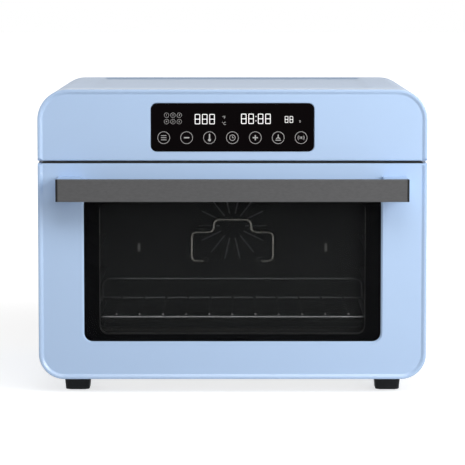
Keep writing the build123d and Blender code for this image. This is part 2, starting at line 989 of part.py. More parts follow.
def cord_gland():
    """The strain-relief bush in the back cover, with an open bore for the mains lead."""
    inner = casing_depth - gland_reach
    body = stem(
        point(gland_x, inner, gland_z), point(gland_x, back_far, gland_z), gland_radius - fit / 2
    )
    collar = stem(
        point(gland_x, back_far, gland_z),
        point(gland_x, back_far + gland_collar, gland_z),
        gland_radius + gland_collar,
    )
    nose = stem(
        point(gland_x, back_far + gland_collar, gland_z),
        point(gland_x, back_far + gland_reach, gland_z),
        gland_nose_radius,
    )
    bore = bar(
        point(gland_x, inner, gland_z),
        point(gland_x, back_far + gland_reach, gland_z),
        cord_radius,
    )
    return body + collar + nose - bore


def foot_places():
    """The X and the distance behind the front of the four feet."""
    return [(side * foot_x, depth) for side in (-1, 1) for depth in foot_depths]


def square_frustum(x, depth, low, high, bottom, top, corner):
    """A tapered square block with cut corners between two heights."""
    sole = chamfer(Rectangle(bottom, bottom).vertices(), corner)
    head = chamfer(Rectangle(top, top).vertices(), corner)
    return loft([Pos(point(x, depth, low)) * sole, Pos(point(x, depth, high)) * head], ruled=True)


def feet():
    """Four moulded feet, tapered, each with a seat for its pad and a well for its screw."""
    built = []
    sole = foot_width - 2 * foot_taper
    for x, depth in foot_places():
        foot = square_frustum(x, depth, pad_proud, casing_low, sole, foot_width, foot_corner)
        foot = foot - block_on(
            x, depth, pad_proud, (pad_width + fit, pad_width + fit, pad_seat)
        )
        foot = foot - stem(
            point(x, depth, pad_proud), point(x, depth, foot_well), screw_head_radius + fit
        )
        foot = foot - stem(
            point(x, depth, foot_well), point(x, depth, casing_low), screw_radius + screw_play
        )
        built.append(foot)
    return group(built)


def foot_pads():
    """Soft pads let into the feet, which touch the bench."""
    return group([
        block_on(x, depth, 0.0, (pad_width, pad_width, pad_proud + pad_seat))
        for x, depth in foot_places()
    ])


def foot_screws():
    """Screws up through the feet into the flanges of the wrap."""
    screws = []
    for x, depth in foot_places():
        head = stem(
            point(x, depth, foot_well - screw_head), point(x, depth, foot_well), screw_head_radius
        )
        shank = stem(point(x, depth, foot_well), point(x, depth, casing_low), screw_radius)
        screws.append(head + shank)
    return group(screws)


# Chamber

def front_frame():
    """The steel frame round the mouth of the chamber, with slots for the hinges."""
    inset = casing_sheet + fit
    frame = from_front(body_outline(inset), frame_front, frame_back)
    skirt = body_outline(inset) - body_outline(inset + frame_sheet)
    skirt = skirt & strip(cavity_low, casing_high)
    frame = frame + from_front(skirt, frame_front, frame_back + frame_skirt)
    mouth = rounded(cavity_width, cavity_height, cavity_corner, cavity_middle)
    frame = frame - from_front(mouth, frame_front, frame_back)
    service = Pos(0, panel_middle) * Rectangle(board_width, board_height)
    frame = frame - from_front(service, frame_front, frame_back)
    ears = block(
        (hinge_x - ear_slot_half, hinge_x + ear_slot_half),
        (frame_front, frame_back),
        (hinge_height - hinge_eye - fit, hinge_height + hinge_eye + fit),
    )
    plunger = stem(
        point(switch_x, frame_front, switch_z),
        point(switch_x, frame_back, switch_z),
        plunger_radius + fit,
    )
    return frame - both_sides(ears) - arm_slots(frame_front, frame_back) - plunger


def upper_heater_places():
    """Distance behind the front and Z of each upper heater."""
    near = cavity_front + heater_end_gap
    far = cavity_back - heater_end_gap
    return [(d, cavity_high - heater_margin) for d in spread(near, far, upper_heater_count)]


def lower_heater_places():
    """Distance behind the front and Z of each lower heater."""
    near = cavity_front + heater_end_gap
    far = cavity_back - heater_end_gap
    return [(d, cavity_low + heater_margin + tray_height) for d in spread(near, far, lower_heater_count)]


def heater_places():
    """All the straight heaters."""
    return upper_heater_places() + lower_heater_places()


def chamber_liner():
    """The five-walled chamber, with rounded edges, a fan opening and holes for the heaters."""
    outside = rounded(2 * liner_wall, cavity_height + 2 * liner_sheet,
                      cavity_corner + liner_sheet, cavity_middle)
    inside = rounded(cavity_width, cavity_height, cavity_corner, cavity_middle)
    liner = from_front(outside, cavity_front, cavity_back + liner_sheet)
    liner = liner - from_front(inside, cavity_front, cavity_back)
    liner = liner - bar(
        point(0, cavity_back, fan_z),
        point(0, cavity_back + liner_sheet, fan_z),
        fan_hole_radius,
    )
    liner = liner - heater_ends(cavity_back, housing_front, rear_heater_radius + fit)
    for depth, z in heater_places():
        hole = (2 * liner_wall, bush_width + fit, bush_width + fit)
        liner = liner - block_on(0, depth, z - hole[2] / 2, hole)
    liner = liner - stem(
        point(0, probe_depth, fitting_z), point(liner_wall, probe_depth, fitting_z),
        probe_radius + fit,
    )
    return liner - stem(
        point(0, port_depth, fitting_z), point(-liner_wall, port_depth, fitting_z),
        port_radius + fit,
    )


def straight_heaters(places):
    """Straight sheathed heaters that cross the chamber from wall to wall."""
    return group([
        stem(point(-half_cavity, depth, z), point(half_cavity, depth, z), heater_radius)
        for depth, z in places
    ])


def heater_bushes():
    """Square ceramic bushes in the side walls that hold the ends of the straight heaters."""
    bushes = []
    for depth, z in heater_places():
        neck = Pos(depth, z) * Rectangle(bush_width, bush_width)
        head = Pos(depth, z) * Rectangle(bush_flange, bush_flange)
        bush = from_side(neck, half_cavity, liner_wall)
        bush = bush + from_side(head, liner_wall, half_cavity + bush_length)
        bushes.append(both_sides(bush))
    return group(bushes)


def rear_heater():
    """The bent heater in front of the fan, with both ends turned back through the housing."""
    depth = cavity_back - rear_heater_gap
    step = rear_heater_low + rear_heater_step
    high = rear_heater_low + rear_heater_height
    side = [
        (rear_heater_foot, housing_back + rear_heater_tail, rear_heater_low),
        (rear_heater_foot, depth, rear_heater_low),
        (rear_heater_half, depth, rear_heater_low),
        (rear_heater_half, depth, step),
        (rear_heater_top_half, depth, step),
        (rear_heater_top_half, depth, high),
    ]
    route = [point(*place) for place in side]
    route += [point(-x, d, z) for x, d, z in reversed(side)]
    return bent_wire(route, rear_heater_bend, rear_heater_radius)


def wall_clips():
    """The two small upright clips on the rear wall, one each side of the fan."""
    width, depth, height = wall_clip_size
    low = cavity_middle - wall_clip_drop - height / 2
    return both_sides(
        block_on(
            half_cavity - wall_clip_inset, cavity_back - depth / 2, low, (width, depth, height)
        )
    )


def fan_guard():
    """The round pressed grille over the fan, with a ring of radial slots."""
    near = cavity_back - fan_guard_sheet
    disc = Pos(0, fan_z) * RegularPolygon(fan_hole_radius + fan_guard_lap, round_sides)
    guard = from_front(disc, near, cavity_back)
    length = fan_hole_radius - fan_guard_lap - fan_guard_boss
    slot = Pos(fan_guard_boss + length / 2, 0) * Rectangle(length, fan_guard_slot)
    cuts = [
        Pos(0, fan_z) * Rot(0, 0, number * 360 / fan_guard_slots) * slot
        for number in range(fan_guard_slots)
    ]
    return guard - from_front(Sketch() + cuts, near, cavity_back)


def cut_square(half, corner):
    """A square round the fan axis with its corners cut off."""
    return Pos(0, fan_z) * chamfer(Rectangle(2 * half, 2 * half).vertices(), corner)


def heater_ends(near, far, radius):
    """Two stems along the ends of the rear heater, between two distances behind the front."""
    return both_sides(
        stem(
            point(rear_heater_foot, near, rear_heater_low),
            point(rear_heater_foot, far, rear_heater_low),
            radius,
        )
    )


def fan_housing():
    """The pressed box with cut corners behind the rear wall that the fan turns in."""
    wall = housing_half - housing_sheet
    housing = from_front(cut_square(housing_half, housing_corner), housing_front, housing_back)
    housing = housing + from_front(
        cut_square(housing_half + housing_lip, housing_corner),
        housing_front,
        housing_front + housing_sheet,
    )
    housing = housing - from_front(
        cut_square(wall, housing_corner), housing_front, housing_back - housing_sheet
    )
    housing = housing - heater_ends(housing_front, housing_back, rear_heater_radius + fit)
    return housing - stem(
        point(0, housing_back - housing_sheet, fan_z),
        point(0, housing_back, fan_z),
        fan_shaft_radius + shaft_clearance,
    )


# Fan

def hub(near, far):
    """A hub round the fan shaft, between two distances behind the front."""
    start = point(0, near, fan_z)
    end = point(0, far, fan_z)
    return stem(start, end, fan_hub_radius) - bar(start, end, fan_shaft_radius)


def convection_impeller():
    """The fan wheel: a backplate, a hub and a ring of blades standing forward from the plate."""
    disc = Pos(0, fan_z) * (RegularPolygon(fan_radius, round_sides) - Circle(fan_shaft_radius))
    plate = from_front(disc, fan_back, fan_back + fan_blade_sheet)
    length = fan_radius - fan_blade_inner - fan_blade_sheet
    blade = Pos(fan_blade_inner + length / 2, 0, 0) * Rot(0, fan_blade_turn, 0) * Box(
        length, fan_blade_depth, fan_blade_sheet
    )
    middle = point(0, (fan_front + fan_back) / 2, fan_z)
    wheel = plate + hub(fan_back - fan_hub_radius, fan_back)
    for number in range(fan_blades):
        wheel = wheel + Pos(middle) * Rot(0, number * 360 / fan_blades, 0) * blade
    return wheel


def fan_shaft():
    """The motor shaft, from the wheel through the motor to the cooling rotor."""
    return bar(
        point(0, fan_back - fan_hub_radius, fan_z),
        point(0, cooler_front + cooler_depth, fan_z),
        fan_shaft_radius,
    )


def fan_nut():
    """The cap nut that holds the fan wheel on its shaft."""
    near = fan_back - fan_hub_radius
    hexagon = Pos(0, fan_z) * RegularPolygon(fan_nut_radius, 6)
    return from_front(hexagon, near - fan_shaft_radius, near)


def motor_cooling_rotor():
    """The small pitched rotor on the rear of the shaft that cools the motor."""
    middle = point(0, cooler_front + cooler_depth / 2, fan_z)
    rotor = hub(cooler_front, cooler_front + cooler_depth)
    root = fan_hub_radius - fan_blade_sheet
    length = cooler_radius - root
    blade = Pos(root + length / 2, 0, 0) * Rot(cooler_pitch, 0, 0) * Box(
        length, fan_blade_sheet, cooler_chord
    )
    for number in range(cooler_blades):
        rotor = rotor + Pos(middle) * Rot(0, number * 360 / cooler_blades, 0) * blade
    return rotor


def fan_motor():
    """The shaded-pole motor: a laminated core, a coil below it and two bearing bridges."""
    low = fan_z - motor_drop - motor_height / 2
    core = Pos(0, low + motor_height / 2) * Rectangle(motor_width, motor_height)
    coil = Pos(0, low + coil_size[1] / 2) * Rectangle(*coil_size)
    bridge = Pos(0, fan_z) * Rectangle(bridge_width, bridge_height)
    motor = from_front(core, motor_front + bridge_depth, motor_back - bridge_depth)
    motor = motor + from_front(coil, motor_front, motor_back)
    motor = motor + from_front(bridge, motor_front, motor_back)
    return motor - bar(
        point(0, motor_front, fan_z), point(0, motor_back, fan_z), fan_shaft_radius + fan_play
    )


def motor_bracket():
    """The strap that carries the motor off the fan housing, on two pillars."""
    near = motor_front - housing_sheet
    face = Pos(0, fan_z) * Rectangle(2 * housing_half, bridge_height)
    strap = from_front(face, near, motor_front)
    strap = strap - stem(
        point(0, near, fan_z), point(0, motor_front, fan_z), fan_shaft_radius + shaft_clearance
    )
    place = housing_half - housing_margin
    return strap + both_sides(
        block(
            (place - housing_margin / 2, place + housing_margin / 2),
            (housing_back, near),
            (fan_z - bridge_height / 2, fan_z + bridge_height / 2),
        )
    )


# Rack, runners and tray

def runner_panel():
    """The right runner panel: a sheet with sloping ledges that the rack slides on."""
    depth = (cavity_front + runner_front, cavity_back - runner_back)
    wall = half_cavity - runner_sheet
    nose = half_cavity - runner_reach
    panel = block((wall, half_cavity), depth, (runner_low, runner_high))
    for level in range(runner_levels):
        top = rack_height - rack_wire / 2 - fit + level * runner_pitch
        ledge = make_face(
            Polyline(
                (wall, top),
                (nose, top),
                (nose, top - runner_nose),
                (wall, top - runner_height),
                close=True,
            )
        )
        panel = panel + from_front(ledge, *depth)
    return panel


def wire_rack():
    """The rack: a front loop, a cross wire with a raised back on it, and rods across its rails."""
    radius = rack_wire / 2
    low = rack_height
    top = low + radius
    near = rack_back_depth - radius
    loop = [
        point(-rack_half, near, low),
        point(-rack_half, rack_front_depth, low),
        point(rack_half, rack_front_depth, low),
        point(rack_half, near, low),
    ]
    upstand = [
        point(-rack_half, rack_back_depth, top),
        point(-rack_half, rack_back_depth, low + rack_upstand),
        point(rack_half, rack_back_depth, low + rack_upstand),
        point(rack_half, rack_back_depth, top),
    ]
    cross = stem(
        point(-rack_half - radius, rack_back_depth, low),
        point(rack_half + radius, rack_back_depth, low),
        radius,
    )
    wires = [bent_wire(loop, rack_bend, radius), bent_wire(upstand, rack_bend, radius), cross]
    rod = rack_rod / 2
    for number in range(rack_rod_count):
        x = number * rack_rod_pitch - rack_rod_half
        start = point(x, rack_front_depth - radius, top + rod)
        wires.append(stem(start, point(x, near, top + rod), rod))
    return group(wires)


def crumb_tray():
    """The shallow tray on the chamber floor under the lower heaters."""
    half = half_cavity - tray_side_gap
    low = cavity_low + fit
    near = cavity_front + tray_front_gap
    far = cavity_back - tray_side_gap
    tray = block((-half, half), (near, far), (low, low + tray_height))
    hollow = block(
        (tray_sheet - half, half - tray_sheet),
        (near + tray_sheet, far - tray_sheet),
        (low + tray_sheet, low + tray_height),
    )
    grip = block(
        (-tray_grip[0] / 2, tray_grip[0] / 2),
        (near, near + tray_grip[1]),
        (low + tray_height - tray_sheet, low + tray_height),
    )
    return tray - hollow + grip


# Sensors and vacuum line

def temperature_probe():
    """The sheathed sensor that reaches into the chamber through the right wall."""
    sheath = stem(
        point(half_cavity - probe_reach, probe_depth, fitting_z),
        point(liner_wall + probe_tail, probe_depth, fitting_z),
        probe_radius,
    )
    flange = Pos(probe_depth, fitting_z) * Rectangle(*probe_flange)
    return sheath + from_side(flange, liner_wall, liner_wall + probe_flange_sheet)


def vacuum_port():
    """The nipple through the left wall that the vacuum hose ends at."""
    flange = stem(
        point(-half_cavity, port_depth, fitting_z),
        point(port_nut / 2 - half_cavity, port_depth, fitting_z),
        port_flange,
    )
    body = stem(
        point(-half_cavity, port_depth, fitting_z),
        point(port_tip, port_depth, fitting_z),
        port_radius,
    )
    nut = from_side(
        Pos(port_depth, fitting_z) * RegularPolygon(port_flange, 6),
        -liner_wall - port_nut,
        -liner_wall,
    )
    return flange + body + nut


def vacuum_hose():
    """The hose from the pump, down beside the chamber, to the port."""
    side = -liner_wall - hose_side_gap
    route = [
        point(nozzle_end, inlet_depth, pump_axis + nozzle_rise),
        point(side, inlet_depth, pump_axis + nozzle_rise),
        point(side, port_depth, fitting_z),
        point(port_tip, port_depth, fitting_z),
    ]
    return bent_wire(route, hose_bend, hose_radius)


def thermal_cutout():
    """The boxed thermostat that cuts the heaters if the chamber roof gets too hot."""
    cutout = block_on(cutout_x, cutout_depth, liner_roof, cutout_size)
    width, depth, height = cutout_size
    return cutout + block_on(
        cutout_x, cutout_depth, liner_roof + height, (width / 4, depth / 2, height / 4)
    )


def insulation_blanket():
    """Mineral wool over the top and down both sides of the chamber, cut out round fittings."""
    outer = liner_wall + fit + insulation
    low = cavity_low + insulation
    depth = (cavity_front + insulation, cavity_back - wool_setback)
    wool = block((-outer, outer), depth, (low, blanket_top))
    wool = wool - block(
        (-liner_wall - fit, liner_wall + fit), depth, (low, liner_roof + fit)
    )
    clear = bush_flange / 2 + wool_gap
    for near, z in heater_places():
        wool = wool - block((-outer, outer), (near - clear, near + clear), (z - clear, z + clear))
    for x, near in ((outer, probe_depth), (-outer, port_depth)):
        reach = sorted((0.0, x))
        wool = wool - block(
            reach, (near - clear, near + clear), (fitting_z - clear, fitting_z + clear)
        )
    holes = [(cutout_x, cutout_depth, *cutout_size[:2])]
    holes += [(x, near, *post_size) for x, near in post_places()]
    for x, near, width, length in holes:
        size = (width + 2 * wool_gap, length + 2 * wool_gap, blanket_top - cavity_high)
        wool = wool - block_on(x, near, cavity_high, size)
    return wool


# Shelf with the pump and the mains board

def post_places():
    """The X and the distance behind the front of the posts under the shelf."""
    x = shelf_half - post_size[0]
    depths = (shelf_front + post_size[1], cavity_back - 2 * post_size[1])
    return [(side * x, depth) for side in (-1, 1) for depth in depths]


def component_shelf():
    """The tray above the insulation that carries the pump and the mains board, on four posts."""
    span = (-shelf_half, shelf_half)
    shelf = block(span, (shelf_front, shelf_back), (shelf_low, shelf_high))
    rise = (shelf_low, shelf_high + shelf_lip)
    shelf = shelf + block(span, (shelf_front, shelf_front + shelf_sheet), rise)
    shelf = shelf + block(span, (shelf_back - shelf_sheet, shelf_back), rise)
    for x, depth in post_places():
        post = block_on(x, depth, liner_roof, (*post_size, shelf_low - liner_roof))
        shelf = shelf + post
    return shelf


def power_board():
    """The mains board on its stand-offs, with transformer, relays and terminals."""
    middle = power_depth_middle
    low = shelf_high + power_rise
    high = low + board_thickness
    board = block_on(power_x, middle, low, (power_width, power_depth, board_thickness))
    foot_side = power_width / 2 - board_foot_inset
    foot_end = power_depth / 2 - board_foot_inset
    for x in (power_x - foot_side, power_x + foot_side):
        for depth in (middle - foot_end, middle + foot_end):
            board = board + block_on(x, depth, shelf_high, (board_foot, board_foot, power_rise))
    across, along = transformer_place
    board = board + block_on(power_x + across, middle + along, high, transformer_size)
    half = relay_count * relay_pitch / 2
    for depth in spread(middle - half, middle + half, relay_count):
        board = board + block_on(power_x + relay_shift, depth, high, relay_size)
    return board + block_on(power_x + terminal_shift, middle, high, terminal_size)


def pump_mount():
    """The rubber cradle between the pump and the shelf."""
    size = (pump_head_size, pump_mount_length, pump_rise)
    seat = (2 * pump_radius + fit, pump_mount_length, pump_radius)
    cradle = block_on(pump_x, pump_depth, shelf_high, size)
    return cradle - block_on(pump_x, pump_depth, pump_axis - pump_radius, seat)


def pump_motor():
    """The laminated motor of the vacuum pump, lying along the cradle."""
    square = chamfer(Rectangle(2 * pump_radius, 2 * pump_radius).vertices(), pump_corner)
    return from_front(Pos(pump_x, pump_axis) * square, pump_front, pump_front + pump_length)


def pump_head():
    """The diaphragm head of the vacuum pump, with its two nozzles on the left."""
    square = Rectangle(pump_head_size, pump_head_size)
    face = Pos(pump_x, pump_axis) * chamfer(square.vertices(), pump_head_corner)
    head = from_front(face, pump_head_front, pump_front)
    for depth in (inlet_depth, outlet_depth):
        head = head + stem(
            point(pump_x - pump_head_size / 2, depth, pump_axis + nozzle_rise),
            point(nozzle_end, depth, pump_axis + nozzle_rise),
            nozzle_radius,
        )
    return head


# Door switch

def door_switch():
    """The microswitch behind the front frame, with its flange."""
    width, depth, height = switch_body
    half = width / 2
    body = block(
        (switch_x - half, switch_x + half),
        (frame_back, frame_back + switch_flange + depth),
        (switch_z - height / 2, switch_z + height / 2),
    )
    flange = block(
        (switch_x - half, switch_x + half),
        (frame_back, frame_back + switch_flange),
        (switch_z - switch_flange_height / 2, switch_z + switch_flange_height / 2),
    )
    return body + flange - bar(
        point(switch_x, frame_back, switch_z),
        point(switch_x, frame_back + plunger_overlap + plunger_room, switch_z),
        plunger_radius + plunger_play,
    )


def switch_plunger():
    """The plunger that the closed door presses in."""
    return bar(
        point(switch_x, inner_panel_back + fit, switch_z),
        point(switch_x, frame_back + plunger_overlap, switch_z),
        plunger_radius,
    )


def build_nodes():
    """Every node of the oven by name."""
    runner = runner_panel()
    return {
        "outer_casing": outer_casing(),
        "base_pan": base_pan(),
        "rear_panel": rear_panel(),
        "rear_screws": rear_screws(),
        "cord_gland": cord_gland(),
        "feet": feet(),
        "foot_pads": foot_pads(),
        "foot_screws": foot_screws(),
        "control_fascia": control_fascia(),
        "control_glass": control_glass(),
        "display_module": display_module(),
        "key_pads": key_pads(),
        "control_board": control_board(),
        "front_frame": front_frame(),
        "chamber_liner": chamber_liner(),
        "runner_panel_left": mirror(runner, Plane.YZ),
        "runner_panel_right": runner,
        "upper_heaters": straight_heaters(upper_heater_places()),
        "lower_heaters": straight_heaters(lower_heater_places()),
        "heater_bushes": heater_bushes(),
        "rear_heater": rear_heater(),
        "wall_clips": wall_clips(),
        "fan_guard": fan_guard(),
        "fan_housing": fan_housing(),
        "fan_motor": fan_motor(),
        "motor_bracket": motor_bracket(),
        "temperature_probe": temperature_probe(),
        "thermal_cutout": thermal_cutout(),
        "insulation_blanket": insulation_blanket(),
        "component_shelf": component_shelf(),
        "power_board": power_board(),
        "pump_mount": pump_mount(),
        "pump_motor": pump_motor(),
        "pump_head": pump_head(),
        "vacuum_hose": vacuum_hose(),
        "vacuum_port": vacuum_port(),
        "door_switch": door_switch(),
        "switch_plunger": switch_plunger(),
        "hinge_brackets": hinge_brackets(),
        "hinge_pins": hinge_pins(),
        "door_frame": door_frame(),
        "door_glass_outer": door_glass_outer(),
        "door_inner_panel": door_inner_panel(),
        "door_glass_inner": door_glass_inner(),
        "glass_clips": glass_clips(),
        "door_seal": door_seal(),
        "hinge_leaves": hinge_leaves(),
        "handle_bar": handle_bar(),
        "handle_end_caps": handle_end_caps(),
        "handle_brackets": handle_brackets(),
        "handle_screws": handle_screws(),
        "convection_impeller": convection_impeller(),
        "fan_shaft": fan_shaft(),
        "fan_nut": fan_nut(),
        "motor_cooling_rotor": motor_cooling_rotor(),
        "wire_rack": wire_rack(),
        "crumb_tray": crumb_tray(),
    }


os.makedirs("parts", exist_ok=True)
for name, part in build_nodes().items():
    export_step(part, f"parts/{name}.step")
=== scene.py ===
"""A bench-top oven for sublimation work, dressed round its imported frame.

Laid out as an add-on: property groups hold the sizes and colours, each operator models one piece
or a group of like pieces, and a panel in the sidebar lists them. All lengths are metres.
"""

import json
from math import pi, radians, tan

import bmesh
import bpy
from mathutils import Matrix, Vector


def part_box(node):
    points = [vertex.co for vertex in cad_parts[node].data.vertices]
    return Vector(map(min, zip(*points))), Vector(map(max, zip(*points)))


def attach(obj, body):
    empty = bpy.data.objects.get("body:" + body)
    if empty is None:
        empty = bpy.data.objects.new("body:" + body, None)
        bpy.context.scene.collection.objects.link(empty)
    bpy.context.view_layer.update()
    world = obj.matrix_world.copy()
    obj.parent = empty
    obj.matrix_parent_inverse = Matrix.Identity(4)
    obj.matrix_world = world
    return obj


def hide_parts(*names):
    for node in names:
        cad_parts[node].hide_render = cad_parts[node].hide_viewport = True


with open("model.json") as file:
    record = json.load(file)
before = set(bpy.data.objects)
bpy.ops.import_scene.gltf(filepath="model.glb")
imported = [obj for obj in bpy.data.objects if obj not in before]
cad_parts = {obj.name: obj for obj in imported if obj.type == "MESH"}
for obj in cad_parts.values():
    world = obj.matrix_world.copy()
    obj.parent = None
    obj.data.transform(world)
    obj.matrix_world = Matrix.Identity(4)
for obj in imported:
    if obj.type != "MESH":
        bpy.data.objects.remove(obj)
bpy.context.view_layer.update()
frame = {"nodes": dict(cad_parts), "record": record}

bl_info = {
    "name": "Sublimation oven",
    "version": (1, 0, 0),
    "blender": (4, 5, 0),
    "location": "View3D > Sidebar > Oven",
    "description": "Models the outside, the handle, the panel and the heaters of a bench-top oven",
    "category": "Object",
}

MM = 0.001
HAIR = 0.01 * MM  # closer than this, two places are one
CLEAR = 1 * MM  # how far a cutter reaches past what it cuts
X, Y, Z = Vector((1, 0, 0)), Vector((0, 1, 0)), Vector((0, 0, 1))

# Places taken from the frame
door_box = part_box("door_frame")
fascia_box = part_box("control_fascia")
casing_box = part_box("outer_casing")
pane_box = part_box("door_glass_outer")
touch_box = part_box("control_glass")
bar_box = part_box("handle_bar")
cap_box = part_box("handle_end_caps")
bracket_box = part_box("handle_brackets")
guard_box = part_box("fan_guard")
feet_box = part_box("feet")
gland_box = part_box("cord_gland")
rear_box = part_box("rear_panel")
rack_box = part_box("wire_rack")
hook_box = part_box("hinge_pins")

FRONT = door_box[0].y
LEFT, RIGHT = casing_box[0].x, casing_box[1].x
LOW, HIGH = casing_box[0].z, casing_box[1].z

# Softening of the edges, by how a piece is made
MOULDED, PRESSED, TURNED, DRAWN = 0.3 * MM, 0.25 * MM, 0.2 * MM, 0.15 * MM
SMALL_STEPS = 8  # facets in a small corner


def behind(depth):
    """The Y of a point at a distance behind the front of the door."""
    return FRONT + depth


def srgb(red, green, blue):
    """A colour from 0 to 255 as the linear values that a shader takes."""
    return tuple(
        c / 12.92 if c <= 0.04045 else ((c + 0.055) / 1.055) ** 2.4
        for c in (red / 255, green / 255, blue / 255)
    )


def length(name, text, default):
    """A length property in metres."""
    return bpy.props.FloatProperty(
        name=name, description=text, default=default, min=0.0, unit="LENGTH", subtype="DISTANCE",
        precision=5,
    )


def colour(name, text, default):
    """A colour property."""
    return bpy.props.FloatVectorProperty(
        name=name, description=text, default=default, size=3, min=0.0, max=1.0, subtype="COLOR"
    )


def count(name, text, default):
    """A whole number property."""
    return bpy.props.IntProperty(name=name, description=text, default=default, min=1)


class OvenSizes(bpy.types.PropertyGroup):
    """The sizes of the oven's outside that a user would change."""

    top_corner: length("Top corner", "Radius of the two upper corners", 36 * MM)
    bottom_corner: length("Bottom corner", "Radius of the two lower corners", 30 * MM)
    corner_steps: count("Corner steps", "Facets in each large corner", 16)
    rim_crest: length("Rim crest", "Flat width of the raised rim", 3 * MM)
    rim_width: length("Rim width", "Width of the rim with its sloping inner side", 6 * MM)
    rim_depth: length("Rim depth", "How far the face lies behind the rim", 1.8 * MM)
    front_edge: length("Front edge", "Rounding of the outer front edge", 1.2 * MM)
    seam_edge: length("Seam edge", "Bevel beside the gap between door and fascia", 1 * MM)
    front_wall: length("Front wall", "Wall thickness of the door and the fascia", 3 * MM)
    window_lap: length("Window lap", "How far the outer pane reaches behind the door", 8.2 * MM)
    window_corner: length("Window corner", "Corner radius of the door window", 12 * MM)
    window_bevel: length("Window bevel", "Bevel round the door window", 2 * MM)
    ear_place: length("Hinge ear", "Distance of the hinge ears from the middle", 200 * MM)
    ear_slot: length("Ear slot", "Width of the slot round a hinge ear", 5 * MM)
    sheet: length("Sheet", "Thickness of the casing's steel", 1 * MM)
    recess_side: length("Recess side", "Distance from the side to the pressed top field", 63 * MM)
    recess_margin: length("Recess front", "Distance from the front to the top field", 16 * MM)
    recess_drop: length("Recess drop", "Depth of the pressed top field", 2 * MM)
    recess_slope: length("Recess slope", "Width of the sloping side of the top field", 3 * MM)
    side_vents: count("Side vents", "Slots in each side of the casing", 6)
    side_vent_pitch: length("Side vent pitch", "Distance between the side slots", 16 * MM)
    side_vent_width: length("Side vent width", "Width of a side slot", 3 * MM)
    side_vent_length: length("Side vent length", "Length of a side slot", 62 * MM)
    side_vent_back: length("Side vent back", "Distance of the side slots from the back", 60 * MM)
    side_vent_drop: length("Side vent drop", "Distance of the slots' middle from the top", 76 * MM)
    base_half: length("Base opening", "Half the width of the opening underneath", 165 * MM)
    rear_flange: length("Rear flange", "Width of the flange behind the casing", 14 * MM)
    touch_corner: length("Touch glass corner", "Corner radius of the touch glass", 7 * MM)
    handle_edge: length("Handle edge", "Rounding of the long edges of the bar", 0.8 * MM)
    foot_width: length("Foot width", "Side of a foot where it meets the body", 31.5 * MM)
    bracket_width: length("Bracket width", "Width of a handle bracket", 29 * MM)
    bracket_arch: length("Bracket arch", "Height of the arch under a handle bracket", 5 * MM)
    key_ring: length("Key ring", "Outer radius of a touch key's ring", 7.3 * MM)
    key_line: length("Key line", "Width of a touch key's ring", 0.5 * MM)
    key_pitch: length("Key pitch", "Distance between the touch keys", 27 * MM)
    heater_radius: length("Rear heater", "Radius of the bent rear heater", 3.2 * MM)
    heater_depth: length("Heater depth", "How far the rear heater is behind the front", 268.6 * MM)
    wire_radius: length("Rack wire", "Radius of the rack's frame wire", 2.25 * MM)
    rod_radius: length("Rack rod", "Radius of the rack's thin rods", 1.5 * MM)
    rod_pitch: length("Rod pitch", "Distance between the rack's thin rods", 28 * MM)
    guard_slots: count("Guard slots", "Slots in the fan's grille", 14)
    slot_start: length("Slot start", "Where a grille slot begins, from the middle", 16 * MM)
    slot_end: length("Slot end", "Where a grille slot ends, from the middle", 44 * MM)


class OvenColours(bpy.types.PropertyGroup):
    """The colours of the oven's finishes."""

    body: colour("Body paint", "Light blue of the casing", srgb(176, 199, 229))
    front: colour("Front moulding", "Light blue of the door and the fascia", srgb(173, 198, 230))
    bar: colour("Handle bar", "Dark grey of the bar", srgb(77, 77, 78))
    black: colour("Black moulding", "Black of the feet and the end caps", srgb(22, 22, 24))
    panel: colour("Touch panel", "Black behind the touch glass", srgb(7, 4, 5))
    print: colour("Panel print", "Grey white of the printed rings", srgb(172, 170, 170))
    digits: colour("Digits", "White of the lit digits", srgb(238, 236, 236))
    glass: colour("Door glass", "Tint of the door's outer pane", srgb(10, 10, 12))
    enamel: colour("Chamber enamel", "Dark grey of the chamber", srgb(14, 14, 16))
    floor: colour("Floor", "Pale colour of the floor", srgb(196, 196, 196))


# Modelling tools

def object_mode():
    """Leaves edit mode."""
    if bpy.context.mode != "OBJECT":
        bpy.ops.object.mode_set(mode="OBJECT")


def only(*pieces):
    """Selects just these pieces. The last one is active."""
    object_mode()
    bpy.ops.object.select_all(action="DESELECT")
    for piece in pieces:
        piece.select_set(True)
        bpy.context.view_layer.objects.active = piece


def fresh(name):
    """Names the primitive that was just added and puts its place into its mesh."""
    piece = bpy.context.active_object
    piece.name = piece.data.name = name
    only(piece)
    bpy.ops.object.transform_apply(location=True, rotation=True, scale=True)
    return piece


def add_block(name, low, high):
    """A block between two corners."""
    low, high = Vector(low), Vector(high)
    only()
    bpy.ops.mesh.primitive_cube_add(size=1.0, location=(low + high) / 2, scale=high - low)
    return fresh(name)


def add_drum(name, start, end, radius, sides=48):
    """A round bar between two points."""
    start, end = Vector(start), Vector(end)
    along = end - start
    only()
    bpy.ops.mesh.primitive_cylinder_add(
        vertices=sides, radius=radius, depth=along.length, location=(start + end) / 2,
        rotation=along.to_track_quat("Z", "Y").to_euler(),
    )
    return fresh(name)


def choose(piece, kind, test):
    """In edit mode, selects just the faces, edges or points of a piece that pass a test."""
    only(piece)
    bpy.ops.object.mode_set(mode="EDIT")
    bpy.ops.mesh.select_mode(type=kind)
    bpy.ops.mesh.select_all(action="DESELECT")
    mesh = bmesh.from_edit_mesh(piece.data)
    items = {"FACE": mesh.faces, "EDGE": mesh.edges, "VERT": mesh.verts}[kind]
    found = [item for item in items if test(item)]
    if not found:
        raise RuntimeError(f"nothing on {piece.name} passes the test")
    for item in found:
        item.select_set(True)
    mesh.select_flush_mode()
    bmesh.update_edit_mesh(piece.data)


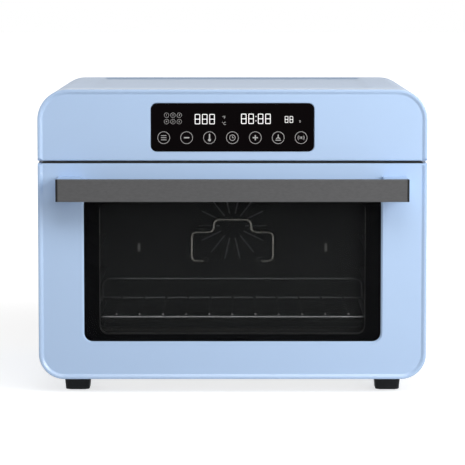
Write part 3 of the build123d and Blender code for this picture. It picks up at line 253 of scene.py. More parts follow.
def choose_all(piece):
    """In edit mode, selects a whole piece."""
    only(piece)
    bpy.ops.object.mode_set(mode="EDIT")
    bpy.ops.mesh.select_all(action="SELECT")


def facing(direction, limit=0.99):
    """A test for the faces that look in a direction."""
    return lambda face: face.normal.dot(direction) > limit


def middle(edge):
    """The middle point of an edge."""
    return (edge.verts[0].co + edge.verts[1].co) / 2


def along(edge, axis):
    """Whether an edge runs along an axis."""
    way = (edge.verts[1].co - edge.verts[0].co).normalized()
    return abs(way.dot(axis)) > 0.999


def level(edge, axis, place):
    """Whether both ends of an edge lie at one place on an axis."""
    return all(abs(v.co.dot(axis) - place) < 1e-6 for v in edge.verts)


def round_edges(piece, test, width, steps):
    """Rounds the edges that pass a test."""
    choose(piece, "EDGE", test)
    bpy.ops.mesh.bevel(offset=width, offset_type="OFFSET", segments=steps, affect="EDGES")


def rounded_block(name, low, high, top, bottom, steps):
    """A block whose four edges along Y are round, with a radius above and one below."""
    block = add_block(name, low, high)
    half = (Vector(low).z + Vector(high).z) / 2
    round_edges(block, lambda e: along(e, Y) and middle(e).z > half, top, steps)
    round_edges(block, lambda e: along(e, Y) and middle(e).z < half, bottom, steps)
    return block


def slice_off(piece, place, normal):
    """Cuts away what lies beyond a plane and closes the cut."""
    choose_all(piece)
    bpy.ops.mesh.bisect(plane_co=place, plane_no=normal, use_fill=True, clear_outer=True)
    object_mode()


def carve(piece, cutter):
    """Cuts a piece with another one, which is used up."""
    only(piece)
    cut = piece.modifiers.new("cut", "BOOLEAN")
    cut.operation, cut.solver, cut.object = "DIFFERENCE", "EXACT", cutter
    bpy.ops.object.modifier_apply(modifier=cut.name)
    bpy.data.objects.remove(cutter, do_unlink=True)


def repeated(piece, number, step):
    """Repeats a piece along a step, in one mesh."""
    only(piece)
    row = piece.modifiers.new("row", "ARRAY")
    row.count, row.use_relative_offset, row.use_constant_offset = number, False, True
    row.constant_offset_displace = step
    bpy.ops.object.modifier_apply(modifier=row.name)


def copied(piece, name, shift):
    """A copy of a piece with its own mesh, moved by a step."""
    only(piece)
    bpy.ops.object.duplicate(linked=False)
    bpy.ops.transform.translate(value=shift)
    return fresh(name)


def mirrored(piece, name):
    """A mirror image of a piece on the other side of the oven."""
    only(piece)
    bpy.ops.object.duplicate(linked=False)
    twin = fresh(name)
    choose_all(twin)
    bpy.ops.transform.resize(value=(-1, 1, 1), center_override=(0, 0, 0))
    bpy.ops.mesh.normals_make_consistent(inside=False)
    object_mode()
    return twin


def joined(name, pieces):
    """Several pieces as one object."""
    only(*pieces)
    bpy.ops.object.join()
    return fresh(name)


def softened(piece, width, steps=2, angle=35):
    """Softens the sharp edges of a piece and smooths its curves."""
    only(piece)
    soft = piece.modifiers.new("soft", "BEVEL")
    soft.width, soft.segments, soft.limit_method = width, steps, "ANGLE"
    soft.angle_limit, soft.use_clamp_overlap = radians(angle), True
    soft.miter_outer = "MITER_ARC"
    bpy.ops.object.modifier_apply(modifier=soft.name)
    smoothed(piece)


def smoothed(piece, angle=40):
    """Shades the curves of a piece smoothly and keeps its flat faces flat."""
    only(piece)
    bpy.ops.object.shade_smooth_by_angle(angle=radians(angle))
    flat = piece.modifiers.new("flat", "WEIGHTED_NORMAL")
    flat.keep_sharp, flat.weight = True, 80
    bpy.ops.object.modifier_apply(modifier=flat.name)


def add_tube(name, points, bend, radius, sides=16, steps=8):
    """A round tube along straight runs: a ring, extruded along each run and spun at each bend."""
    points = [Vector(p) for p in points]
    heading = (points[1] - points[0]).normalized()
    only()
    bpy.ops.mesh.primitive_circle_add(
        vertices=sides, radius=radius, fill_type="NOTHING", location=points[0],
        rotation=heading.to_track_quat("Z", "Y").to_euler(),
    )
    tube = fresh(name)
    choose_all(tube)
    here = points[0]
    for number in range(1, len(points)):
        corner, end = points[number], points[number]
        last = number == len(points) - 1
        if not last:
            turned = (points[number + 1] - corner).normalized()
            angle = heading.angle(turned)
            end = corner - heading * bend * tan(angle / 2)
        bpy.ops.mesh.extrude_region_move(TRANSFORM_OT_translate={"value": end - here})
        if not last:
            inward = (turned - heading * turned.dot(heading)).normalized()
            bpy.ops.mesh.spin(
                steps=steps, angle=angle, center=end + inward * bend, axis=turned.cross(heading)
            )
            here = corner + turned * bend * tan(angle / 2)
            heading = turned
    bpy.ops.mesh.select_all(action="SELECT")
    bpy.ops.mesh.remove_doubles(threshold=1e-6)
    bpy.ops.mesh.fill_holes(sides=0)
    bpy.ops.mesh.select_all(action="SELECT")
    bpy.ops.mesh.normals_make_consistent(inside=False)
    object_mode()
    return tube


# Finishes

finishes = {}


def new_group(name, inputs, outputs):
    """A shader node group with named sockets, and its input and output nodes."""
    tree = bpy.data.node_groups.new(name, "ShaderNodeTree")
    for socket, (kind, default) in inputs.items():
        made = tree.interface.new_socket(socket, in_out="INPUT", socket_type=f"NodeSocket{kind}")
        if default is not None:
            made.default_value = default
    for socket, kind in outputs.items():
        tree.interface.new_socket(socket, in_out="OUTPUT", socket_type=f"NodeSocket{kind}")
    return tree, tree.nodes.new("NodeGroupInput"), tree.nodes.new("NodeGroupOutput")


def node(tree, kind, links=(), **settings):
    """Adds a node, sets it up and links its inputs."""
    made = tree.nodes.new(kind)
    values = settings.pop("values", {})
    for name, value in settings.items():
        setattr(made, name, value)
    for socket, value in values.items():
        made.inputs[socket].default_value = value
    for socket, source in dict(links).items():
        tree.links.new(source, made.inputs[socket])
    return made


def maths(tree, operation, first, second):
    """The result of a sum on two sockets or numbers."""
    made = node(tree, "ShaderNodeMath", operation=operation)
    for place, value in enumerate((first, second)):
        if isinstance(value, bpy.types.NodeSocket):
            tree.links.new(value, made.inputs[place])
        else:
            made.inputs[place].default_value = value
    return made.outputs[0]


def build_grain():
    """Grain: cloudy change of tone and gloss, and a height for the bump."""
    tree, given, out = new_group(
        "surface_grain",
        {
            "Vector": ("Vector", None), "Stretch": ("Vector", (1, 1, 1)),
            "Colour": ("Color", (1, 1, 1, 1)), "Scale": ("Float", 400.0), "Tone": ("Float", 0.04),
            "Roughness": ("Float", 0.4), "Spread": ("Float", 0.06),
        },
        {"Color": "Color", "Roughness": "Float", "Height": "Float"},
    )
    place = node(tree, "ShaderNodeVectorMath", {0: given.outputs["Vector"],
                 1: given.outputs["Stretch"]}, operation="MULTIPLY")
    noise = node(tree, "ShaderNodeTexNoise", {"Vector": place.outputs[0],
                 "Scale": given.outputs["Scale"]}, values={"Detail": 3.0, "Roughness": 0.55})
    fac = noise.outputs["Fac"]
    swing = maths(tree, "MULTIPLY", maths(tree, "SUBTRACT", fac, 0.5), 2.0)
    value = maths(tree, "ADD", maths(tree, "MULTIPLY", swing, given.outputs["Tone"]), 1.0)
    tone = node(tree, "ShaderNodeHueSaturation", {"Color": given.outputs["Colour"], "Value": value})
    rough = maths(tree, "ADD", maths(tree, "MULTIPLY", swing, given.outputs["Spread"]),
                  given.outputs["Roughness"])
    tree.links.new(tone.outputs[0], out.inputs["Color"])
    tree.links.new(rough, out.inputs["Roughness"])
    tree.links.new(fac, out.inputs["Height"])
    return tree


def build_edge_wear():
    """A broken mask along the edges, for edge wear and for painted highlights on edges."""
    tree, given, out = new_group(
        "edge_wear",
        {"Vector": ("Vector", None), "Radius": ("Float", 0.0006), "Amount": ("Float", 0.5)},
        {"Mask": "Float"},
    )
    soft = node(tree, "ShaderNodeBevel", {"Radius": given.outputs["Radius"]}, samples=4)
    geometry = node(tree, "ShaderNodeNewGeometry")
    dot = node(tree, "ShaderNodeVectorMath", {0: soft.outputs[0], 1: geometry.outputs["Normal"]},
               operation="DOT_PRODUCT")
    edge = node(tree, "ShaderNodeMapRange", {"Value": dot.outputs["Value"]},
                values={"From Min": 0.995, "From Max": 0.86})
    noise = node(tree, "ShaderNodeTexNoise", {"Vector": given.outputs["Vector"]},
                 values={"Scale": 90.0, "Detail": 5.0})
    broken = node(tree, "ShaderNodeMapRange", {"Value": noise.outputs[0]},
                  values={"From Min": 0.42, "From Max": 0.62})
    mask = maths(tree, "MULTIPLY", edge.outputs[0], broken.outputs[0])
    tree.links.new(maths(tree, "MULTIPLY", mask, given.outputs["Amount"]), out.inputs["Mask"])
    return tree


def build_dust():
    """Dust: a cloudy mask on what looks up."""
    tree, given, out = new_group(
        "settled_dust",
        {"Vector": ("Vector", None), "Amount": ("Float", 0.1)},
        {"Mask": "Float"},
    )
    geometry = node(tree, "ShaderNodeNewGeometry")
    parts = node(tree, "ShaderNodeSeparateXYZ", {0: geometry.outputs["Normal"]})
    upward = node(tree, "ShaderNodeMapRange", {"Value": parts.outputs["Z"]},
                  values={"From Min": 0.6, "From Max": 1.0})
    noise = node(tree, "ShaderNodeTexNoise", {"Vector": given.outputs["Vector"]},
                 values={"Scale": 14.0, "Detail": 6.0, "Roughness": 0.7})
    cloud = node(tree, "ShaderNodeMapRange", {"Value": noise.outputs[0]},
                 values={"From Min": 0.35, "From Max": 0.75})
    mask = maths(tree, "MULTIPLY", upward.outputs[0], cloud.outputs[0])
    tree.links.new(maths(tree, "MULTIPLY", mask, given.outputs["Amount"]), out.inputs["Mask"])
    return tree


def build_speckle():
    """Speckle: small round flecks of uneven size."""
    tree, given, out = new_group(
        "speckle",
        {"Vector": ("Vector", None), "Scale": ("Float", 700.0), "Size": ("Float", 0.16)},
        {"Mask": "Float"},
    )
    cells = node(tree, "ShaderNodeTexVoronoi", {"Vector": given.outputs["Vector"],
                 "Scale": given.outputs["Scale"]})
    parts = node(tree, "ShaderNodeSeparateColor", {0: cells.outputs["Color"]})
    reach = maths(tree, "MULTIPLY", given.outputs["Size"], parts.outputs[0])
    mask = maths(tree, "LESS_THAN", cells.outputs["Distance"], reach)
    tree.links.new(mask, out.inputs["Mask"])
    return tree


def build_spangle():
    """Spangle: flat crystals of zinc, each with its own faint tone."""
    tree, given, out = new_group(
        "spangle",
        {"Vector": ("Vector", None), "Scale": ("Float", 170.0), "Amount": ("Float", 0.45)},
        {"Mask": "Float"},
    )
    warp = node(tree, "ShaderNodeTexNoise", {"Vector": given.outputs["Vector"]},
                values={"Scale": 60.0, "Detail": 2.0})
    nudge = node(tree, "ShaderNodeVectorMath", {0: warp.outputs["Color"]}, operation="SCALE",
                 values={"Scale": 0.012})
    place = node(tree, "ShaderNodeVectorMath", {0: given.outputs["Vector"], 1: nudge.outputs[0]},
                 operation="ADD")
    cells = node(tree, "ShaderNodeTexVoronoi", {"Vector": place.outputs[0],
                 "Scale": given.outputs["Scale"]})
    parts = node(tree, "ShaderNodeSeparateColor", {0: cells.outputs["Color"]})
    tree.links.new(maths(tree, "MULTIPLY", parts.outputs[0], given.outputs["Amount"]),
                   out.inputs["Mask"])
    return tree


def add_group(material, tree, **values):
    """Places a node group in a material, on the piece's own coordinates."""
    nodes = material.node_tree
    made = node(nodes, "ShaderNodeGroup", node_tree=tree)
    place = nodes.nodes.get("Place") or node(nodes, "ShaderNodeTexCoord", name="Place")
    nodes.links.new(place.outputs["Object"], made.inputs["Vector"])
    for socket, value in values.items():
        made.inputs[socket].default_value = value
    return made


def new_finish(slot, paint, roughness, metallic=0.0, scale=400.0, stretch=(1, 1, 1), tone=0.03,
               spread=0.05, bump=0.1, height=0.1 * MM, **constants):
    """A finish with grain in its colour, gloss and bump. Constants stay on the shader's sockets."""
    material = bpy.data.materials.new(slot)
    material.use_nodes = True
    tree = material.node_tree
    shader = tree.nodes["Principled BSDF"]
    shader.inputs["Metallic"].default_value = metallic
    for socket, value in constants.items():
        shader.inputs[socket.replace("_", " ")].default_value = value
    grain = add_group(
        material, finishes["grain"], Colour=(*paint, 1.0), Scale=scale, Stretch=stretch, Tone=tone,
        Roughness=roughness, Spread=spread,
    )
    tree.links.new(grain.outputs["Color"], shader.inputs["Base Color"])
    tree.links.new(grain.outputs["Roughness"], shader.inputs["Roughness"])
    bumped = node(tree, "ShaderNodeBump", {"Height": grain.outputs["Height"]},
                  values={"Strength": bump, "Distance": height})
    tree.links.new(bumped.outputs[0], shader.inputs["Normal"])
    finishes[slot] = material
    return material


def over(material, mask, paint, roughness):
    """Lays another colour and gloss over a finish where a mask says."""
    tree = material.node_tree
    shader = tree.nodes["Principled BSDF"]
    for socket, value, kind, first in (
        ("Base Color", (*paint, 1.0), "RGBA", 6), ("Roughness", roughness, "FLOAT", 2)
    ):
        under = shader.inputs[socket].links[0].from_socket
        mix = node(tree, "ShaderNodeMix", data_type=kind)
        tree.links.new(mask, mix.inputs[0])
        tree.links.new(under, mix.inputs[first])
        mix.inputs[first + 1].default_value = value
        tree.links.new(mix.outputs[2 if kind == "RGBA" else 0], shader.inputs[socket])


def wear_and_highlight_edges(material, paint, roughness, radius=0.5 * MM, amount=0.35):
    """Adds a lighter colour along the edges: wear, and on the blue paint and moulding also a
    painted highlight.
    """
    wear = add_group(material, finishes["wear"], Radius=radius, Amount=amount)
    over(material, wear.outputs["Mask"], paint, roughness)


def dusty(material, amount, paint=(0.62, 0.60, 0.57)):
    """Adds dust on what looks up."""
    dust = add_group(material, finishes["dust"], Amount=amount)
    over(material, dust.outputs["Mask"], paint, 0.8)


def spangled(material, scale, paint, roughness, amount=0.45):
    """Adds the crystals of a zinc coat."""
    crystals = add_group(material, finishes["spangle"], Scale=scale, Amount=amount)
    over(material, crystals.outputs["Mask"], paint, roughness)


def speckled(material, scale, size, paint, roughness):
    """Adds flecks."""
    flecks = add_group(material, finishes["speckle"], Scale=scale, Size=size)
    over(material, flecks.outputs["Mask"], paint, roughness)


def dress(piece, body, slot, *nodes, finish=None):
    """Gives a new piece its finish, which is the slot's own unless another is named, hangs it on
    its body, and hides the nodes it stands for.
    """
    piece.data.materials.clear()
    piece.data.materials.append(finishes[finish or slot])
    object_mode()
    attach(piece, body)
    if nodes:
        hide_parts(*nodes)


class OVEN_OT_finishes(bpy.types.Operator):
    """Make all finishes of the oven"""

    bl_idname = "oven.finishes"
    bl_label = "Finishes"

    def execute(self, context):
        tint = context.scene.oven_colours
        finishes["grain"], finishes["wear"] = build_grain(), build_edge_wear()
        finishes["dust"], finishes["speckle"] = build_dust(), build_speckle()
        finishes["spangle"] = build_spangle()

        paint = new_finish("blue_paint", tint.body, 0.40, scale=520, tone=0.012, spread=0.03,
                           bump=0.10, height=0.12 * MM, Coat_Weight=0.12, Coat_Roughness=0.25)
        # The lighter blue along the casing's edges is partly wear and partly a painted highlight
        wear_and_highlight_edges(paint, srgb(214, 226, 243), 0.4, amount=0.22)
        dusty(paint, 0.05)
        front = new_finish("blue_moulding", tint.front, 0.30, scale=800, tone=0.010, spread=0.03,
                           bump=0.05, height=0.08 * MM, Coat_Weight=0.35, Coat_Roughness=0.16)
        # The lighter blue along the door's and fascia's edges and rim is partly wear and partly a
        # painted highlight
        wear_and_highlight_edges(front, srgb(210, 225, 246), 0.32, amount=0.18)
        zinc = new_finish("zinc_steel", srgb(168, 170, 173), 0.42, metallic=0.92, scale=70,
                          tone=0.10, spread=0.10, bump=0.06)
        spangled(zinc, 170, srgb(190, 192, 196), 0.34)
        wear_and_highlight_edges(zinc, srgb(205, 206, 208), 0.3)
        steel = new_finish("stainless", srgb(176, 175, 172), 0.30, metallic=0.95, scale=180,
                           stretch=(0.04, 1, 6), tone=0.07, spread=0.10, bump=0.10)
        wear_and_highlight_edges(steel, srgb(215, 214, 212), 0.22)
        new_finish("bright_wire", srgb(205, 206, 208), 0.18, metallic=1.0, scale=300, tone=0.05,
                   spread=0.06, bump=0.04)
        enamel = new_finish("dark_enamel", tint.enamel, 0.36, scale=260, tone=0.06, spread=0.06,
                            bump=0.10, Specular_IOR_Level=0.08)
        speckled(enamel, 420, 0.16, srgb(48, 49, 52), 0.34)
        sheath = new_finish("heater_sheath", srgb(222, 219, 210), 0.20, metallic=1.0, scale=60,
                            tone=0.06, spread=0.06, bump=0.05)
        speckled(sheath, 240, 0.3, srgb(178, 168, 154), 0.32)
        burnt = new_finish("burnt_sheath", srgb(58, 55, 53), 0.5, metallic=0.6, scale=90,
                           tone=0.2, spread=0.1, bump=0.12)
        speckled(burnt, 300, 0.4, srgb(84, 72, 62), 0.6)
        tinted = new_finish("tinted_glass", tint.glass, 0.04, scale=6, tone=0.0, spread=0.01,
                            bump=0.0, Specular_IOR_Level=0.05, Alpha=0.37)
        tinted.surface_render_method = "BLENDED"
        clear = new_finish("clear_glass", srgb(226, 235, 232), 0.03, scale=6, tone=0.0,
                           spread=0.01, bump=0.0, Specular_IOR_Level=0.1, Alpha=0.03)
        clear.surface_render_method = "BLENDED"
        new_finish("panel_glass", tint.panel, 0.09, scale=30, tone=0.02, spread=0.02, bump=0.0,
                   Specular_IOR_Level=0.02)
        bar = new_finish("grey_bar", tint.bar, 0.40, metallic=0.5, scale=700,
                         stretch=(0.35, 1, 1), tone=0.24, spread=0.12, bump=0.25,
                         height=0.08 * MM)
        wear_and_highlight_edges(bar, srgb(136, 134, 132), 0.3, amount=0.6)
        black = new_finish("black_plastic", tint.black, 0.5, scale=1500, tone=0.10, spread=0.08,
                           bump=0.25, height=0.08 * MM, Specular_IOR_Level=0.2)
        wear_and_highlight_edges(black, srgb(52, 52, 56), 0.5, amount=0.4)
        rubber = new_finish("black_rubber", srgb(24, 24, 25), 0.75, scale=900, tone=0.12,
                            spread=0.08, bump=0.3)
        dusty(rubber, 0.15)
        silicone = new_finish("grey_silicone", srgb(112, 113, 116), 0.6, scale=500, tone=0.05,
                              spread=0.06, bump=0.12, Subsurface_Weight=0.08)
        dusty(silicone, 0.1)
        ceramic = new_finish("ceramic", srgb(226, 221, 208), 0.5, scale=350, tone=0.05,
                             spread=0.10, bump=0.2)
        speckled(ceramic, 800, 0.12, srgb(160, 150, 135), 0.6)
        wool = new_finish("wool", srgb(205, 196, 168), 0.95, scale=900, stretch=(1, 0.15, 1),
                          tone=0.25, spread=0.03, bump=0.9, height=0.8 * MM, Sheen_Weight=0.3)
        speckled(wool, 300, 0.5, srgb(170, 158, 126), 0.95)
        board = new_finish("circuit_board", srgb(22, 74, 52), 0.38, scale=500, tone=0.12,
                           spread=0.08, bump=0.08)
        speckled(board, 330, 0.32, srgb(196, 178, 110), 0.3)
        core = new_finish("steel_core", srgb(84, 85, 88), 0.5, metallic=0.7, scale=1400,
                          stretch=(0.05, 1, 0.05), tone=0.30, spread=0.12, bump=0.5)
        wear_and_highlight_edges(core, srgb(150, 148, 146), 0.35)
        cast = new_finish("aluminium", srgb(190, 191, 194), 0.34, metallic=0.95, scale=350,
                          tone=0.06, spread=0.09, bump=0.12)
        wear_and_highlight_edges(cast, srgb(220, 220, 222), 0.26)

        # The print's faint emission is a painted glow: the printed rings and signs are no lamp
        new_finish("panel_print_painted_glow", tint.print, 0.4, scale=2500, tone=0.06, spread=0.03, bump=0.02,
                   Emission_Color=(*tint.print, 1.0), Emission_Strength=0.1)
        new_finish("lit_digits", tint.digits, 0.4, scale=1800, tone=0.02, spread=0.02, bump=0.0,
                   Emission_Color=(*tint.digits, 1.0), Emission_Strength=0.25)
        new_finish("glass_print", srgb(4, 4, 6), 0.5, scale=900, tone=0.1, spread=0.04,
                   bump=0.05, Specular_IOR_Level=0.05)
        return {"FINISHED"}


# The front

def front_slab(name, sizes, back):
    """The whole front as one slab, with its raised rim."""
    slab = rounded_block(
        name, (LEFT, FRONT, LOW), (RIGHT, back, HIGH), sizes.top_corner, sizes.bottom_corner,
        sizes.corner_steps,
    )
    face = behind(sizes.rim_depth)
    choose(slab, "FACE", facing(-Y))
    bpy.ops.mesh.inset(thickness=sizes.rim_crest, depth=0.0)
    bpy.ops.mesh.inset(thickness=sizes.rim_width - sizes.rim_crest, depth=-sizes.rim_depth)
    sloping = lambda e: any(0.1 < -f.normal.y < 0.95 for f in e.link_faces)
    crease = 0.6 * MM
    round_edges(slab, lambda e: level(e, Y, FRONT) and sloping(e), crease, 2)
    round_edges(slab, lambda e: level(e, Y, face), crease, 2)
    outside = lambda e: any(abs(f.normal.y) < 0.01 for f in e.link_faces)
    round_edges(slab, lambda e: level(e, Y, FRONT) and outside(e), sizes.front_edge, 4)
    return slab


def hollow_block(sizes, near, far, low, high):
    """The cutter for the hollow behind the door or the fascia, one wall inside the outline."""
    wall = sizes.front_wall
    outline = rounded_block(
        "hollow", (LEFT + wall, near, LOW + wall), (RIGHT - wall, far, HIGH - wall),
        sizes.top_corner - wall, sizes.bottom_corner - wall, sizes.corner_steps,
    )
    # A slice in the block's own face would leave a stray face behind
    if high < HIGH - wall - HAIR:
        slice_off(outline, (0, 0, high), Z)
    if low > LOW + wall + HAIR:
        slice_off(outline, (0, 0, low), -Z)
    return outline


class OVEN_OT_door_front(bpy.types.Operator):
    """Model the door front: rim, bevelled window, hollow and round lower rear edge"""

    bl_idname = "oven.door_front"
    bl_label = "Door front"

    def execute(self, context):
        sizes = context.scene.oven_sizes
        high, back = door_box[1].z, door_box[1].y
        wall, lap, bevel = sizes.front_wall, sizes.window_lap, sizes.window_bevel
        door = front_slab("door_front", sizes, back)
        slice_off(door, (0, 0, high), Z)
        seam = behind(sizes.rim_depth + sizes.seam_edge)
        slice_off(door, (0, seam, high), (Z - Y).normalized())

        hinge = (hook_box[0] + hook_box[1]) / 2
        heel = hinge.z - LOW
        waste = add_block("waste", (LEFT - wall, hinge.y, LOW - wall),
                          (RIGHT + wall, back + wall, hinge.z))
        carve(waste, add_drum("heel", (LEFT - 2 * wall, hinge.y, hinge.z),
                              (RIGHT + 2 * wall, hinge.y, hinge.z), heel, 64))
        carve(door, waste)

        near = behind(sizes.rim_depth + wall)
        carve(door, hollow_block(sizes, near, back + wall, hinge.z, high - wall))
        overlap = 0.1 * MM
        carve(door, hollow_block(sizes, near, hinge.y + heel - wall, LOW + wall,
                                 hinge.z + overlap))

        face = behind(sizes.rim_depth)
        wide = lap - 2 * bevel
        flare = rounded_block(
            "window", (pane_box[0].x + wide, face - 2 * bevel, pane_box[0].z + wide),
            (pane_box[1].x - wide, face - bevel, pane_box[1].z - wide),
            sizes.window_corner + bevel, sizes.window_corner + bevel, SMALL_STEPS,
        )
        choose(flare, "FACE", facing(Y))
        bpy.ops.mesh.inset(thickness=2 * bevel, depth=2 * bevel)
        bpy.ops.mesh.extrude_region_move(TRANSFORM_OT_translate={"value": (0, back - face, 0)})
        object_mode()
        carve(door, flare)

        half, ear_reach = sizes.ear_slot / 2, 6.5 * MM
        for x in (-sizes.ear_place, sizes.ear_place):
            carve(door, add_block("ear", (x - half, hinge.y - ear_reach, LOW - wall),
                                  (x + half, back + wall, hinge.z + heel)))
        softened(door, MOULDED)
        dress(door, "door", "blue_moulding", "door_frame")
        # The black strip on the door's top edge is painted shade in the gap
        self.gap_strip(sizes, high)
        return {"FINISHED"}

    def gap_strip(self, sizes, high):
        """A black strip on the door's top edge: painted shade that makes the gap beside the fascia
        look dark.
        """
        margin, thick, sunk, depth, edge = 5 * MM, 0.9 * MM, 0.1 * MM, 4.2 * MM, 0.4 * MM
        strip = add_block("gap_strip", (LEFT + margin, behind(depth), high - sunk),
                          (RIGHT - margin, door_box[1].y - CLEAR, high + thick))
        round_edges(strip, lambda e: level(e, Z, high + thick) and along(e, X), edge, 3)
        smoothed(strip)
        dress(strip, "door", "black_rubber")


class OVEN_OT_fascia(bpy.types.Operator):
    """Model the control fascia: rim, seat of the touch glass and hollow"""

    bl_idname = "oven.fascia"
    bl_label = "Control fascia"

    def execute(self, context):
        sizes = context.scene.oven_sizes
        low, back = fascia_box[0].z, fascia_box[1].y
        wall, fit = sizes.front_wall, 0.3 * MM
        fascia = front_slab("fascia", sizes, back)
        slice_off(fascia, (0, 0, low), -Z)
        seam = behind(sizes.rim_depth + sizes.seam_edge)
        slice_off(fascia, (0, seam, low), (-Z - Y).normalized())
        near = behind(sizes.rim_depth + wall)
        carve(fascia, hollow_block(sizes, near, back + wall, low + wall, HIGH - wall))
        corner = sizes.touch_corner + fit
        carve(fascia, rounded_block(
            "seat", (touch_box[0].x - fit, FRONT - wall, touch_box[0].z - fit),
            (touch_box[1].x + fit, touch_box[1].y, touch_box[1].z + fit), corner, corner,
            SMALL_STEPS,
        ))
        flare_out = 1.2 * MM
        wide, face = fit + flare_out, behind(sizes.rim_depth)
        flare = rounded_block(
            "flare", (touch_box[0].x - wide, face - flare_out, touch_box[0].z - wide),
            (touch_box[1].x + wide, face - flare_out / 2, touch_box[1].z + wide),
            corner + flare_out, corner + flare_out, SMALL_STEPS,
        )
        choose(flare, "FACE", facing(Y))
        bpy.ops.mesh.inset(thickness=flare_out, depth=flare_out)
        object_mode()
        carve(fascia, flare)
        ledge = 5 * MM
        carve(fascia, add_block(
            "opening", (touch_box[0].x + ledge, FRONT, touch_box[0].z + ledge),
            (touch_box[1].x - ledge, back, touch_box[1].z - ledge),
        ))
        softened(fascia, MOULDED)
        dress(fascia, "cabinet", "blue_moulding", "control_fascia")
        return {"FINISHED"}


class OVEN_OT_casing(bpy.types.Operator):
    """Model the casing: rounded wrap, pressed top field, side louvres and rear flange"""

    bl_idname = "oven.casing"
    bl_label = "Casing"

    def execute(self, context):
        sizes = context.scene.oven_sizes
        near, far, sheet = casing_box[0].y, casing_box[1].y, sizes.sheet
        steps = sizes.corner_steps
        wrap = rounded_block("casing", (LEFT, near, LOW), (RIGHT, far, HIGH), sizes.top_corner,
                             sizes.bottom_corner, steps)
        carve(wrap, self.field(sizes, 0.0, 0.0))
        inner = rounded_block(
            "inside", (LEFT + sheet, near - sheet, LOW + sheet),
            (RIGHT - sheet, far - sheet, HIGH - sheet), sizes.top_corner - sheet,
            sizes.bottom_corner - sheet, steps,
        )
        carve(inner, self.field(sizes, sheet, sheet / 2))
        carve(wrap, inner)
        edge = sizes.rear_flange
        carve(wrap, rounded_block(
            "mouth", (LEFT + edge, far - 2 * sheet, LOW + edge),
            (RIGHT - edge, far + sheet, HIGH - edge), sizes.top_corner - edge,
            sizes.bottom_corner - edge, steps,
        ))
        base = sizes.base_half
        carve(wrap, add_block("base", (-base, near - sheet, LOW - sheet),
                              (base, far - sheet, LOW + 2 * sheet)))
        wide, tall = sizes.side_vent_width / 2, sizes.side_vent_length / 2
        first, centre = far - sizes.side_vent_back, HIGH - sizes.side_vent_drop
        slot = add_block("louvre", (LEFT - sheet, first - wide, centre - tall),
                         (RIGHT + sheet, first + wide, centre + tall))
        round_edges(slot, lambda e: along(e, X), wide * 0.95, 4)
        repeated(slot, sizes.side_vents, (0, -sizes.side_vent_pitch, 0))
        carve(wrap, slot)
        softened(wrap, PRESSED)
        dress(wrap, "cabinet", "blue_paint", "outer_casing")
        return {"FINISHED"}

    def field(self, sizes, deeper, wider):
        """The cutter for the pressed field, with sloping sides."""
        margin, slope = sizes.recess_margin, sizes.recess_slope
        drop = sizes.recess_drop + deeper
        side, near = sizes.recess_side - wider, casing_box[0].y + margin - wider
        far = casing_box[1].y - margin / 2 + wider
        top = add_block("field", (LEFT + side, near, HIGH), (RIGHT - side, far, HIGH + drop))
        choose(top, "FACE", facing(-Z))
        bpy.ops.mesh.inset(thickness=slope, depth=drop)
        object_mode()
        return top


# The handle

class OVEN_OT_handle(bpy.types.Operator):
    """Model the handle: bar with its groove, two end caps and two arched brackets"""

    bl_idname = "oven.handle"
    bl_label = "Handle"

    def execute(self, context):
        sizes = context.scene.oven_sizes
        low, high = bar_box
        bar = add_block("bar_handle", low, high)
        round_edges(bar, lambda e: along(e, X), sizes.handle_edge, 3)
        bracket = bracket_box[1].x - sizes.bracket_width
        margin, depth = 5 * MM, 1.2 * MM
        carve(bar, add_block("groove", (-bracket, high.y - depth, low.z + margin),
                             (bracket, high.y + CLEAR, high.z - margin)))
        softened(bar, DRAWN)
        dress(bar, "door", "grey_bar", "handle_bar")

        cap = add_block("cap", (high.x, cap_box[0].y, cap_box[0].z), cap_box[1])
        round_edges(cap, lambda e: along(e, X), sizes.handle_edge, 3)
        round_edges(cap, lambda e: level(e, X, cap_box[1].x), 0.75 * sizes.handle_edge, 3)
        caps = joined("bar_end_caps", [cap, mirrored(cap, "other_cap")])
        smoothed(caps)
        dress(caps, "door", "black_plastic", "handle_end_caps")

        near, far, foot = bracket_box[0].y, bracket_box[1].y, bracket_box[0].z
        block = add_block("bracket", (bracket, near, foot), bracket_box[1])
        arch = sizes.bracket_arch
        half = (far - near) / 2 - arch
        radius = (half ** 2 + arch ** 2) / (2 * arch)
        centre = foot + arch - radius
        carve(block, add_drum("arch", (bracket - margin, (near + far) / 2, centre),
                              (bracket_box[1].x + margin, (near + far) / 2, centre), radius, 128))
        softened(block, sizes.handle_edge, 3)
        brackets = joined("bar_brackets", [block, mirrored(block, "other_bracket")])
        smoothed(brackets)
        dress(brackets, "door", "blue_moulding", "handle_brackets")
        return {"FINISHED"}


# The door window and the touch glass

class OVEN_OT_glass(bpy.types.Operator):
    """Model the touch glass and the printed border of the door's outer pane"""

    bl_idname = "oven.glass"
    bl_label = "Touch glass and window border"

    def execute(self, context):
        sizes = context.scene.oven_sizes
        corner, ground_edge = sizes.touch_corner, 0.35 * MM
        touch = rounded_block("touch_glass", *touch_box, corner, corner, SMALL_STEPS)
        round_edges(touch, lambda e: level(e, Y, touch_box[0].y), ground_edge, 2)
        smoothed(touch)
        dress(touch, "cabinet", "panel_glass", "control_glass")

        back, inset, thick = pane_box[1].y, 0.5 * MM, 0.15 * MM
        border = add_block("window_border", (pane_box[0].x + inset, back, pane_box[0].z + inset),
                           (pane_box[1].x - inset, back + thick, pane_box[1].z - inset))
        half, foot, top, corner = 158 * MM, 70.55 * MM, 228.55 * MM, 10 * MM
        carve(border, rounded_block("clear", (-half, back - inset, foot), (half, back + inset, top),
                                    corner, corner, SMALL_STEPS))
        dress(border, "door", "black_plastic", finish="glass_print")
        return {"FINISHED"}


# The signs on the touch glass

PRINT = 0.04 * MM  # how far a sign stands out
SUNK = 0.02 * MM  # how far it reaches into the glass


